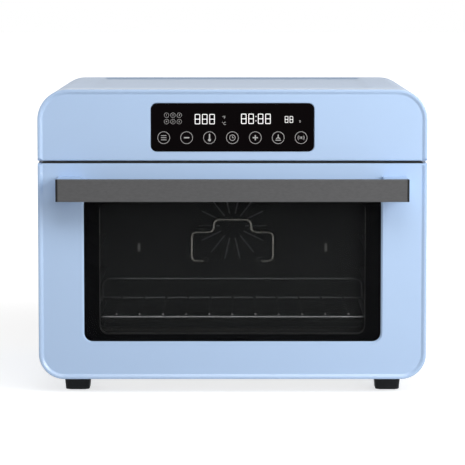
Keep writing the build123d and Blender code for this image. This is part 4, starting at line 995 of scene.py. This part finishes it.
def ring(x, z, radius, line, sides=48):
    """A printed ring on the touch glass."""
    face = touch_box[0].y
    only()
    bpy.ops.mesh.primitive_circle_add(
        vertices=sides, radius=radius, fill_type="NGON", location=(x, face + SUNK, z),
        rotation=(pi / 2, 0, 0),
    )
    mark = fresh("ring")
    choose_all(mark)
    bpy.ops.mesh.select_mode(type="FACE")
    bpy.ops.mesh.inset(thickness=line, depth=0.0)
    bpy.ops.mesh.delete(type="FACE")
    bpy.ops.mesh.select_all(action="SELECT")
    bpy.ops.mesh.extrude_region_move(TRANSFORM_OT_translate={"value": (0, -PRINT - SUNK, 0)})
    bpy.ops.mesh.select_all(action="SELECT")
    bpy.ops.mesh.normals_make_consistent(inside=False)
    object_mode()
    return mark


def stroke(x, z, width, height, corner=0.3 * MM):
    """A printed bar with round corners."""
    face = touch_box[0].y
    return rounded_block(
        "stroke", (x - width / 2, face - PRINT, z - height / 2),
        (x + width / 2, face + SUNK, z + height / 2), corner, corner, 3,
    )


def figure(text, x, z, size):
    """A printed number or unit sign."""
    only()
    bpy.ops.object.text_add(location=(x, touch_box[0].y, z), rotation=(pi / 2, 0, 0))
    words = bpy.context.active_object
    words.data.body, words.data.size = text, size
    words.data.align_x, words.data.align_y = "CENTER", "CENTER"
    words.data.extrude = PRINT
    only(words)
    bpy.ops.object.convert(target="MESH")
    return fresh("figure")


def eight(x, z, width, height, line):
    """One lit digit with all its segments on."""
    digit = stroke(x, z, width, height, 1.1 * line)
    hole_wide, hole_tall = width - 2 * line, (height - 3 * line) / 2
    for side in (-1, 1):
        middle_z = z + side * (hole_tall + line) / 2
        hole = stroke(x, middle_z, hole_wide, hole_tall, 0.45 * line)
        choose_all(hole)
        deeper = 20
        bpy.ops.transform.resize(value=(1, deeper, 1), center_override=(0, touch_box[0].y, 0))
        carve(digit, hole)
    return digit


class OVEN_OT_signs(bpy.types.Operator):
    """Model the signs on the touch glass: lit digits, rings, numbers and key signs"""

    bl_idname = "oven.signs"
    bl_label = "Panel signs"

    def execute(self, context):
        sizes = context.scene.oven_sizes
        lit = self.digits()
        marks = self.icons()
        key_z = 305.4 * MM
        key = ring(0, key_z, sizes.key_ring, sizes.key_line)
        keys = [-3, -2, -1, 1, 2, 3]
        marks += [key] + [copied(key, "key", (n * sizes.key_pitch, 0, 0)) for n in keys]
        marks += self.key_signs(sizes.key_pitch, key_z)
        digits = joined("display_digits", lit)
        dress(digits, "cabinet", "panel_glass", finish="lit_digits")
        prints = joined("panel_marks", marks)
        # The printed marks take the print finish with its painted glow
        dress(prints, "cabinet", "panel_glass", finish="panel_print_painted_glow")
        return {"FINISHED"}

    def digits(self):
        """The lit digits of the temperature, the time and the count."""
        start, low, high = -41.2, 327.3, 327.7
        first = eight(start * MM, low * MM, 6.4 * MM, 12.1 * MM, 0.9 * MM)
        made = [first]
        for x, z in ((-32.6, low), (-24.0, low), (13.4, high), (22.0, high), (33.2, high),
                     (41.9, high)):
            made.append(copied(first, "digit", ((x - start) * MM, 0, (z - low) * MM)))
        small, small_pitch = eight(63.8 * MM, 326.9 * MM, 4.0 * MM, 7.8 * MM, 0.6 * MM), 5.7 * MM
        made += [small, copied(small, "digit", (small_pitch, 0, 0))]
        colon, dot = 27.8 * MM, 1.2 * MM
        for z in (325.3, 330.4):
            made.append(stroke(colon, z * MM, dot, dot, 0.5 * MM))
        return made

    def icons(self):
        """Six numbered programme signs and the unit signs."""
        start, top, pitch = -77.6, 331.9, 7.5
        made = [ring(start * MM, top * MM, 2.9 * MM, 0.3 * MM, 32)]
        places = [(start + n * pitch, z) for z in (top, top - pitch) for n in range(3)]
        for x, z in places[1:]:
            made.append(copied(made[0], "ring", ((x - start) * MM, 0, (z - top) * MM)))
        texts = [(str(number + 1), x, z, 3.0) for number, (x, z) in enumerate(places)]
        texts += [("°F", -10, 329.2, 4.6), ("°C", -10, 322.0, 4.6), ("s", 79.6, 325.0, 5.6)]
        return made + [figure(text, x * MM, z * MM, size * MM) for text, x, z, size in texts]

    def key_signs(self, pitch, z):
        """The signs inside the touch keys, from the key's column, place in it, size and corner."""
        bars = [(-3, 0, rise, 6.4, 0.7, 0.3) for rise in (-2.5, 0, 2.5)]
        bars += [
            (-2, 0, 0, 6.4, 1.3, 0.3),  # less
            (-1, 0, 1.3, 1.5, 6.6, 0.7), (-1, 0, -2.6, 3.4, 3.4, 1.6),  # thermometer
            (0, 0, 0.9, 0.6, 2.4, 0.3), (0, 0.8, -0.1, 2.0, 0.6, 0.3),  # clock hands
            (1, 0, 0, 6.2, 1.3, 0.3), (1, 0, 0, 1.3, 6.2, 0.3),  # more
            (2, 0, -3.0, 6.4, 0.9, 0.3), (2, 0, 1.4, 1.1, 4.6, 0.3),  # press
            (3, 0, 0, 1.3, 2.8, 0.4),  # sound
        ]
        made = [stroke(column * pitch + x * MM, z + rise * MM, width * MM, height * MM, corner * MM)
                for column, x, rise, width, height, corner in bars]
        made.append(ring(0, z, 3.6 * MM, 0.6 * MM, 32))
        for side in (-1, 1):
            x, arm_z = 2 * pitch + side * 1.2 * MM, z - 0.4 * MM
            arm = stroke(x, arm_z, 0.9 * MM, 3.4 * MM)
            choose_all(arm)
            bpy.ops.transform.rotate(value=side * radians(45), orient_axis="Y",
                                     center_override=(x, 0, arm_z))
            made.append(arm)
        for radius in (2.6 * MM, 4.0 * MM):
            wave = ring(3 * pitch, z, radius, 0.45 * MM, 40)
            other = copied(wave, "wave", (0, 0, 0))
            cut = 0.72 * radius
            slice_off(wave, (3 * pitch + cut, 0, 0), -X)
            slice_off(other, (3 * pitch - cut, 0, 0), X)
            made += [wave, other]
        return made


# Inside the chamber

class OVEN_OT_heaters(bpy.types.Operator):
    """Model the bent rear heater and the four straight heaters"""

    bl_idname = "oven.heaters"
    bl_label = "Heaters"

    def execute(self, context):
        sizes = context.scene.oven_sizes
        low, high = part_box("rear_heater")
        radius, bend = sizes.heater_radius, 7 * MM
        depth = behind(sizes.heater_depth)
        foot, half, top = 34.5 * MM, high.x - radius, 24 * MM
        base, crown = low.z + radius, high.z - radius
        step = base + 37.3 * MM
        side = [(foot, high.y, base), (foot, depth, base), (half, depth, base), (half, depth, step),
                (top, depth, step), (top, depth, crown)]
        route = side + [(-x, y, z) for x, y, z in reversed(side)]
        bent = add_tube("bent_heater", route, bend, radius, 20, 8)
        smoothed(bent)
        dress(bent, "cabinet", "heater_sheath", "rear_heater")
        sheath, sleeve_place, sleeve_half = 0.8 * MM, 14 * MM, 5 * MM
        sleeve_wall, sleeve_edge = 0.5 * MM, 0.4 * MM
        for name, cad in (("roof_heaters", "upper_heaters"), ("floor_heaters", "lower_heaters")):
            low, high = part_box(cad)
            radius = (high.z - low.z) / 2
            z = (low.z + high.z) / 2
            first = low.y + radius
            tube = add_drum("tube", (low.x, first, z), (high.x, first, z), radius, 24)
            end = lambda face: abs(face.normal.x) > 0.9
            choose(tube, "FACE", end)
            bpy.ops.mesh.inset(thickness=sheath, depth=0.0)
            for side in (-1, 1):
                place = side * (high.x - sleeve_place)
                sleeve = add_drum("sleeve", (place - sleeve_half, first, z),
                                  (place + sleeve_half, first, z), radius + sleeve_wall, 24)
                round_edges(sleeve, lambda e: any(end(f) for f in e.link_faces), sleeve_edge, 2)
                tube = joined("tube", [sleeve, tube])
            other = copied(tube, "tube", (0, high.y - low.y - 2 * radius, 0))
            pair = joined(name, [tube, other])
            smoothed(pair)
            dress(pair, "cabinet", "heater_sheath", cad, finish="burnt_sheath")
        return {"FINISHED"}


class OVEN_OT_rack(bpy.types.Operator):
    """Model the wire rack: frame wires, raised back and thin rods"""

    bl_idname = "oven.rack"
    bl_label = "Wire rack"

    def execute(self, context):
        sizes = context.scene.oven_sizes
        radius, rod = sizes.wire_radius, sizes.rod_radius
        half = rack_box[1].x - radius
        near, back = rack_box[0].y + radius, rack_box[1].y - radius
        low, high = rack_box[0].z + radius, rack_box[1].z - radius
        bend, pitch, rods_on_a_side = 9 * MM, sizes.rod_pitch, 5
        loop = add_tube("loop", [(-half, back, low), (-half, near, low), (half, near, low),
                                 (half, back, low)], bend, radius, 16, 8)
        rise = add_tube("rise", [(-half, back, low), (-half, back, high), (half, back, high),
                                 (half, back, low)], bend, radius, 16, 8)
        cross = add_tube("cross", [(-half - radius, back, low), (half + radius, back, low)], bend,
                         radius, 16)
        top, side, rod_edge = low + radius + rod, -rods_on_a_side * pitch, 0.5 * MM
        first = add_tube("rod", [(side, near - radius, top), (side, back, top)], bend, rod, 10)
        round_edges(first, lambda e: level(e, Y, near - radius), rod_edge, 2)
        rods = [copied(first, "rod", (n * pitch, 0, 0)) for n in range(1, 2 * rods_on_a_side + 1)]
        rack = joined("rack_wires", [loop, rise, cross, first, *rods])
        smoothed(rack)
        dress(rack, "rack", "bright_wire", "wire_rack")
        return {"FINISHED"}


class OVEN_OT_fan_guard(bpy.types.Operator):
    """Model the pressed grille over the fan"""

    bl_idname = "oven.fan_guard"
    bl_label = "Fan guard"

    def execute(self, context):
        sizes = context.scene.oven_sizes
        low, high = guard_box
        centre = (low + high) / 2
        radius = (high.x - low.x) / 2
        plate = add_drum("grille", (centre.x, low.y, centre.z), (centre.x, high.y, centre.z),
                         radius, 64)
        half, corner = 1 * MM, 0.95 * MM
        for number in range(sizes.guard_slots):
            slot = rounded_block("slot", (sizes.slot_start, low.y - CLEAR, centre.z - half),
                                 (sizes.slot_end, high.y + CLEAR, centre.z + half), corner,
                                 corner, 4)
            choose_all(slot)
            bpy.ops.transform.rotate(value=number * 2 * pi / sizes.guard_slots, orient_axis="Y",
                                     center_override=(centre.x, 0, centre.z))
            carve(plate, slot)
        softened(plate, PRESSED)
        dress(plate, "cabinet", "dark_enamel", "fan_guard")
        return {"FINISHED"}


# Feet and rear fittings

class OVEN_OT_feet(bpy.types.Operator):
    """Model the four moulded feet"""

    bl_idname = "oven.feet"
    bl_label = "Feet"

    def execute(self, context):
        low, high = feet_box
        wide = context.scene.oven_sizes.foot_width
        taper, corner, lower_edge = 3 * MM, 4 * MM, 1.0 * MM
        x, y = high.x - wide / 2, low.y + wide / 2
        foot = add_block("foot", (x - wide / 2, low.y, low.z), (x + wide / 2, low.y + wide, high.z))
        choose(foot, "FACE", facing(-Z))
        smaller = (wide - taper) / wide
        bpy.ops.transform.resize(value=(smaller, smaller, 1), center_override=(x, y, low.z))
        round_edges(foot, lambda e: not level(e, Z, low.z) and not level(e, Z, high.z), corner, 6)
        round_edges(foot, lambda e: level(e, Z, low.z), lower_edge, 3)
        seat, seat_deep, well, well_deep, hole = 10.15 * MM, 2.8 * MM, 4.1 * MM, 11 * MM, 2 * MM
        carve(foot, add_block("seat", (x - seat, y - seat, 0), (x + seat, y + seat, seat_deep)))
        carve(foot, add_drum("well", (x, y, 0), (x, y, well_deep), well, 32))
        carve(foot, add_drum("hole", (x, y, 0), (x, y, high.z + CLEAR), hole, 24))
        softened(foot, MOULDED)
        across, along_y = -2 * x, high.y - low.y - wide
        feet = joined("moulded_feet", [
            foot, copied(foot, "foot", (across, 0, 0)), copied(foot, "foot", (0, along_y, 0)),
            copied(foot, "foot", (across, along_y, 0)),
        ])
        dress(feet, "cabinet", "black_plastic", "feet")
        return {"FINISHED"}


class OVEN_OT_rear_fittings(bpy.types.Operator):
    """Model the mains gland and the screws of the back cover"""

    bl_idname = "oven.rear_fittings"
    bl_label = "Rear fittings"

    def execute(self, context):
        low, high = gland_box
        x, z = (low.x + high.x) / 2, (low.z + high.z) / 2
        plate = rear_box[1].y
        collar, thick, rounding = 10 * MM, 3 * MM, 0.8 * MM
        neck_in, nose_in, step_in, bore = 3.3 * MM, 3.0 * MM, 0.35 * MM, 3.6 * MM
        gland = add_drum("gland", (x, plate, z), (x, plate + thick, z), collar, 48)
        round_edges(gland, lambda e: level(e, Y, plate + thick), rounding, 3)
        choose(gland, "FACE", facing(-Y))
        bpy.ops.mesh.inset(thickness=neck_in, depth=0.0)
        bpy.ops.mesh.extrude_region_move(TRANSFORM_OT_translate={"value": (0, low.y - plate, 0)})
        choose(gland, "FACE", facing(Y))
        bpy.ops.mesh.inset(thickness=nose_in, depth=0.0)
        for number, rise in enumerate((1.0, 0.5, 1.0, 0.5, 1.0)):
            if number % 2:
                bpy.ops.mesh.inset(thickness=step_in, depth=0.0)
            bpy.ops.mesh.extrude_region_move(TRANSFORM_OT_translate={"value": (0, rise * MM, 0)})
        carve(gland, add_drum("bore", (x, low.y - CLEAR, z), (x, high.y + CLEAR, z), bore, 32))
        softened(gland, TURNED)
        dress(gland, "cabinet", "black_plastic", "cord_gland")

        low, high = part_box("rear_screws")
        head, tall, dome, stem, sunk = 3.6 * MM, 2 * MM, 1.3 * MM, 1.75 * MM, 1 * MM
        cross_floor, cross_half, cross_line = 0.9 * MM, 2 * MM, 0.35 * MM
        x, z = high.x - head, low.z + head
        screw = add_drum("screw", (x, plate, z), (x, plate + tall, z), head, 32)
        round_edges(screw, lambda e: level(e, Y, plate + tall), dome, 4)
        choose(screw, "FACE", facing(-Y))
        bpy.ops.mesh.inset(thickness=head - stem, depth=0.0)
        bpy.ops.mesh.extrude_region_move(TRANSFORM_OT_translate={"value": (0, -sunk, 0)})
        for wide, high_half in ((cross_half, cross_line), (cross_line, cross_half)):
            carve(screw, add_block("cross", (x - wide, plate + cross_floor, z - high_half),
                                   (x + wide, plate + tall + CLEAR, z + high_half)))
        up = high.z - low.z - 2 * head
        screws = joined("cover_screws", [
            screw, copied(screw, "screw", (0, 0, up)), copied(screw, "screw", (-2 * x, 0, 0)),
            copied(screw, "screw", (-2 * x, 0, up)),
        ])
        smoothed(screws)
        dress(screws, "cabinet", "zinc_steel", "rear_screws")
        return {"FINISHED"}


class OVEN_OT_carried_over(bpy.types.Operator):
    """Give every node that stays its procedural finish"""

    bl_idname = "oven.carried_over"
    bl_label = "Carried-over nodes"

    def execute(self, context):
        for part in frame["record"]["subparts"]:
            piece, slot = frame["nodes"][part["node"]], part["material_slot"]
            if not piece.material_slots:
                piece.data.materials.append(finishes[slot])
            for place in piece.material_slots:
                place.material = finishes[slot]
        return {"FINISHED"}


# The stage

AIM_HEIGHT = 0.18  # where the lamps look, about half way up the oven


def seen_directly(tree):
    """A socket that is 1 where the camera, a reflection or a view through glass looks."""
    light = node(tree, "ShaderNodeLightPath")
    return maths(tree, "MAXIMUM", light.outputs["Is Camera Ray"],
                 maths(tree, "MAXIMUM", light.outputs["Is Glossy Ray"],
                       light.outputs["Is Transmission Ray"]))


class OVEN_OT_stage(bpy.types.Operator):
    """Set up the floor, the lamps, the white surroundings and the camera"""

    bl_idname = "oven.stage"
    bl_label = "Stage"

    def execute(self, context):
        for name in ("Cube", "Light", "Camera"):
            if name in bpy.data.objects:
                bpy.data.objects.remove(bpy.data.objects[name], do_unlink=True)
        self.camera(context.scene)
        self.floor(context.scene.oven_colours.floor)
        self.surroundings(context.scene)
        self.lamp("right_lamp", (1.35, -1.35, 0.85), 1.0, 29.0)
        self.lamp("front_lamp", (0.2, -1.75, 1.6), 1.0, 13.0)
        self.lamp("left_lamp", (-2.2, 0.35, 0.7), 1.2, 12.0)
        self.lamp("rear_lamp", (2.4, 1.9, 0.5), 1.0, 12.0)
        view = context.scene.view_settings
        view.view_transform = "Standard"
        return {"FINISHED"}

    def camera(self, scene):
        """The camera at the photograph's angle."""
        aside, distance, eye_height, tilt = 0.0001, 3.262, 0.4935, 0.0968
        lens = bpy.data.cameras.new("camera")
        lens.lens, lens.sensor_width = 203.36, 36.0
        lens.clip_start, lens.clip_end = 0.1, 100.0
        seat = bpy.data.objects.new("camera", lens)
        seat.location = (aside, -distance, eye_height)
        seat.rotation_euler = (pi / 2 - tilt, 0.0, 0.0)
        scene.collection.objects.link(seat)
        scene.camera = seat

    def lamp(self, name, place, size, power):
        """A square soft lamp that looks at the oven."""
        light = bpy.data.lights.new(name, "AREA")
        light.shape, light.size, light.energy = "SQUARE", size, power
        seat = bpy.data.objects.new(name, light)
        seat.location = place
        aim = Vector((0.0, 0.0, AIM_HEIGHT)) - Vector(place)
        seat.rotation_euler = aim.to_track_quat("-Z", "Y").to_euler()
        bpy.context.scene.collection.objects.link(seat)

    def floor(self, pale):
        """A plain pale floor that keeps the oven's shadow."""
        only()
        bpy.ops.mesh.primitive_plane_add(size=40.0, location=(0, 0, 0))
        ground = fresh("floor")
        material = bpy.data.materials.new("floor")
        material.use_nodes = True
        tree = material.node_tree
        shader = tree.nodes["Principled BSDF"]
        shader.inputs["Base Color"].default_value = (*pale, 1.0)
        shader.inputs["Roughness"].default_value = 0.9
        shader.inputs["Specular IOR Level"].default_value = 0.1
        seen, near, far, dim = seen_directly(tree), 0.45, 1.6, 0.68
        place = node(tree, "ShaderNodeTexCoord")
        reach = node(tree, "ShaderNodeVectorMath", {0: place.outputs["Object"]},
                     operation="LENGTH")
        fade = node(tree, "ShaderNodeMapRange", {"Value": reach.outputs["Value"]},
                    interpolation_type="SMOOTHSTEP",
                    values={"From Min": near, "From Max": far, "To Min": dim, "To Max": 1.0})
        glow = node(tree, "ShaderNodeEmission", values={"Color": (1, 1, 1, 1)})
        tree.links.new(maths(tree, "MULTIPLY", seen, fade.outputs[0]), glow.inputs["Strength"])
        both = node(tree, "ShaderNodeAddShader", {0: shader.outputs[0], 1: glow.outputs[0]})
        tree.links.new(both.outputs[0], tree.nodes["Material Output"].inputs["Surface"])
        ground.data.materials.append(material)

    def surroundings(self, scene):
        """White where the camera or a reflection sees it, a soft light elsewhere."""
        world = bpy.data.worlds.new("studio")
        scene.world = world
        world.use_nodes = True
        tree = world.node_tree
        back = tree.nodes["Background"]
        back.inputs["Color"].default_value = (1, 1, 1, 1)
        seen, soft = seen_directly(tree), 0.24
        spare = maths(tree, "MULTIPLY", maths(tree, "SUBTRACT", 1.0, seen), soft)
        tree.links.new(maths(tree, "ADD", seen, spare), back.inputs["Strength"])


class OVEN_PT_sidebar(bpy.types.Panel):
    """Lists the oven's operators, sizes and colours"""

    bl_label = "Oven"
    bl_idname = "OVEN_PT_sidebar"
    bl_space_type = "VIEW_3D"
    bl_region_type = "UI"
    bl_category = "Oven"

    def draw(self, context):
        for step in steps:
            self.layout.operator(step.bl_idname)
        for group in (context.scene.oven_sizes, context.scene.oven_colours):
            box = self.layout.box()
            for name in type(group).__annotations__:
                box.prop(group, name)


steps = (
    OVEN_OT_finishes, OVEN_OT_door_front, OVEN_OT_fascia, OVEN_OT_casing, OVEN_OT_handle,
    OVEN_OT_glass, OVEN_OT_signs, OVEN_OT_heaters, OVEN_OT_rack, OVEN_OT_fan_guard, OVEN_OT_feet,
    OVEN_OT_rear_fittings, OVEN_OT_carried_over, OVEN_OT_stage,
)
classes = (OvenSizes, OvenColours, *steps, OVEN_PT_sidebar)


def register():
    """Registers the classes and the two property groups."""
    for entry in classes:
        bpy.utils.register_class(entry)
    bpy.types.Scene.oven_sizes = bpy.props.PointerProperty(type=OvenSizes)
    bpy.types.Scene.oven_colours = bpy.props.PointerProperty(type=OvenColours)


def unregister():
    """Takes the classes and the property groups out again."""
    del bpy.types.Scene.oven_colours
    del bpy.types.Scene.oven_sizes
    for entry in reversed(classes):
        bpy.utils.unregister_class(entry)


def main():
    """Builds the oven."""
    register()
    for step in steps:
        family, verb = step.bl_idname.split(".")
        if getattr(getattr(bpy.ops, family), verb)() != {"FINISHED"}:
            raise RuntimeError(f"{step.bl_label} did not finish")


if __name__ == "__main__":
    main()
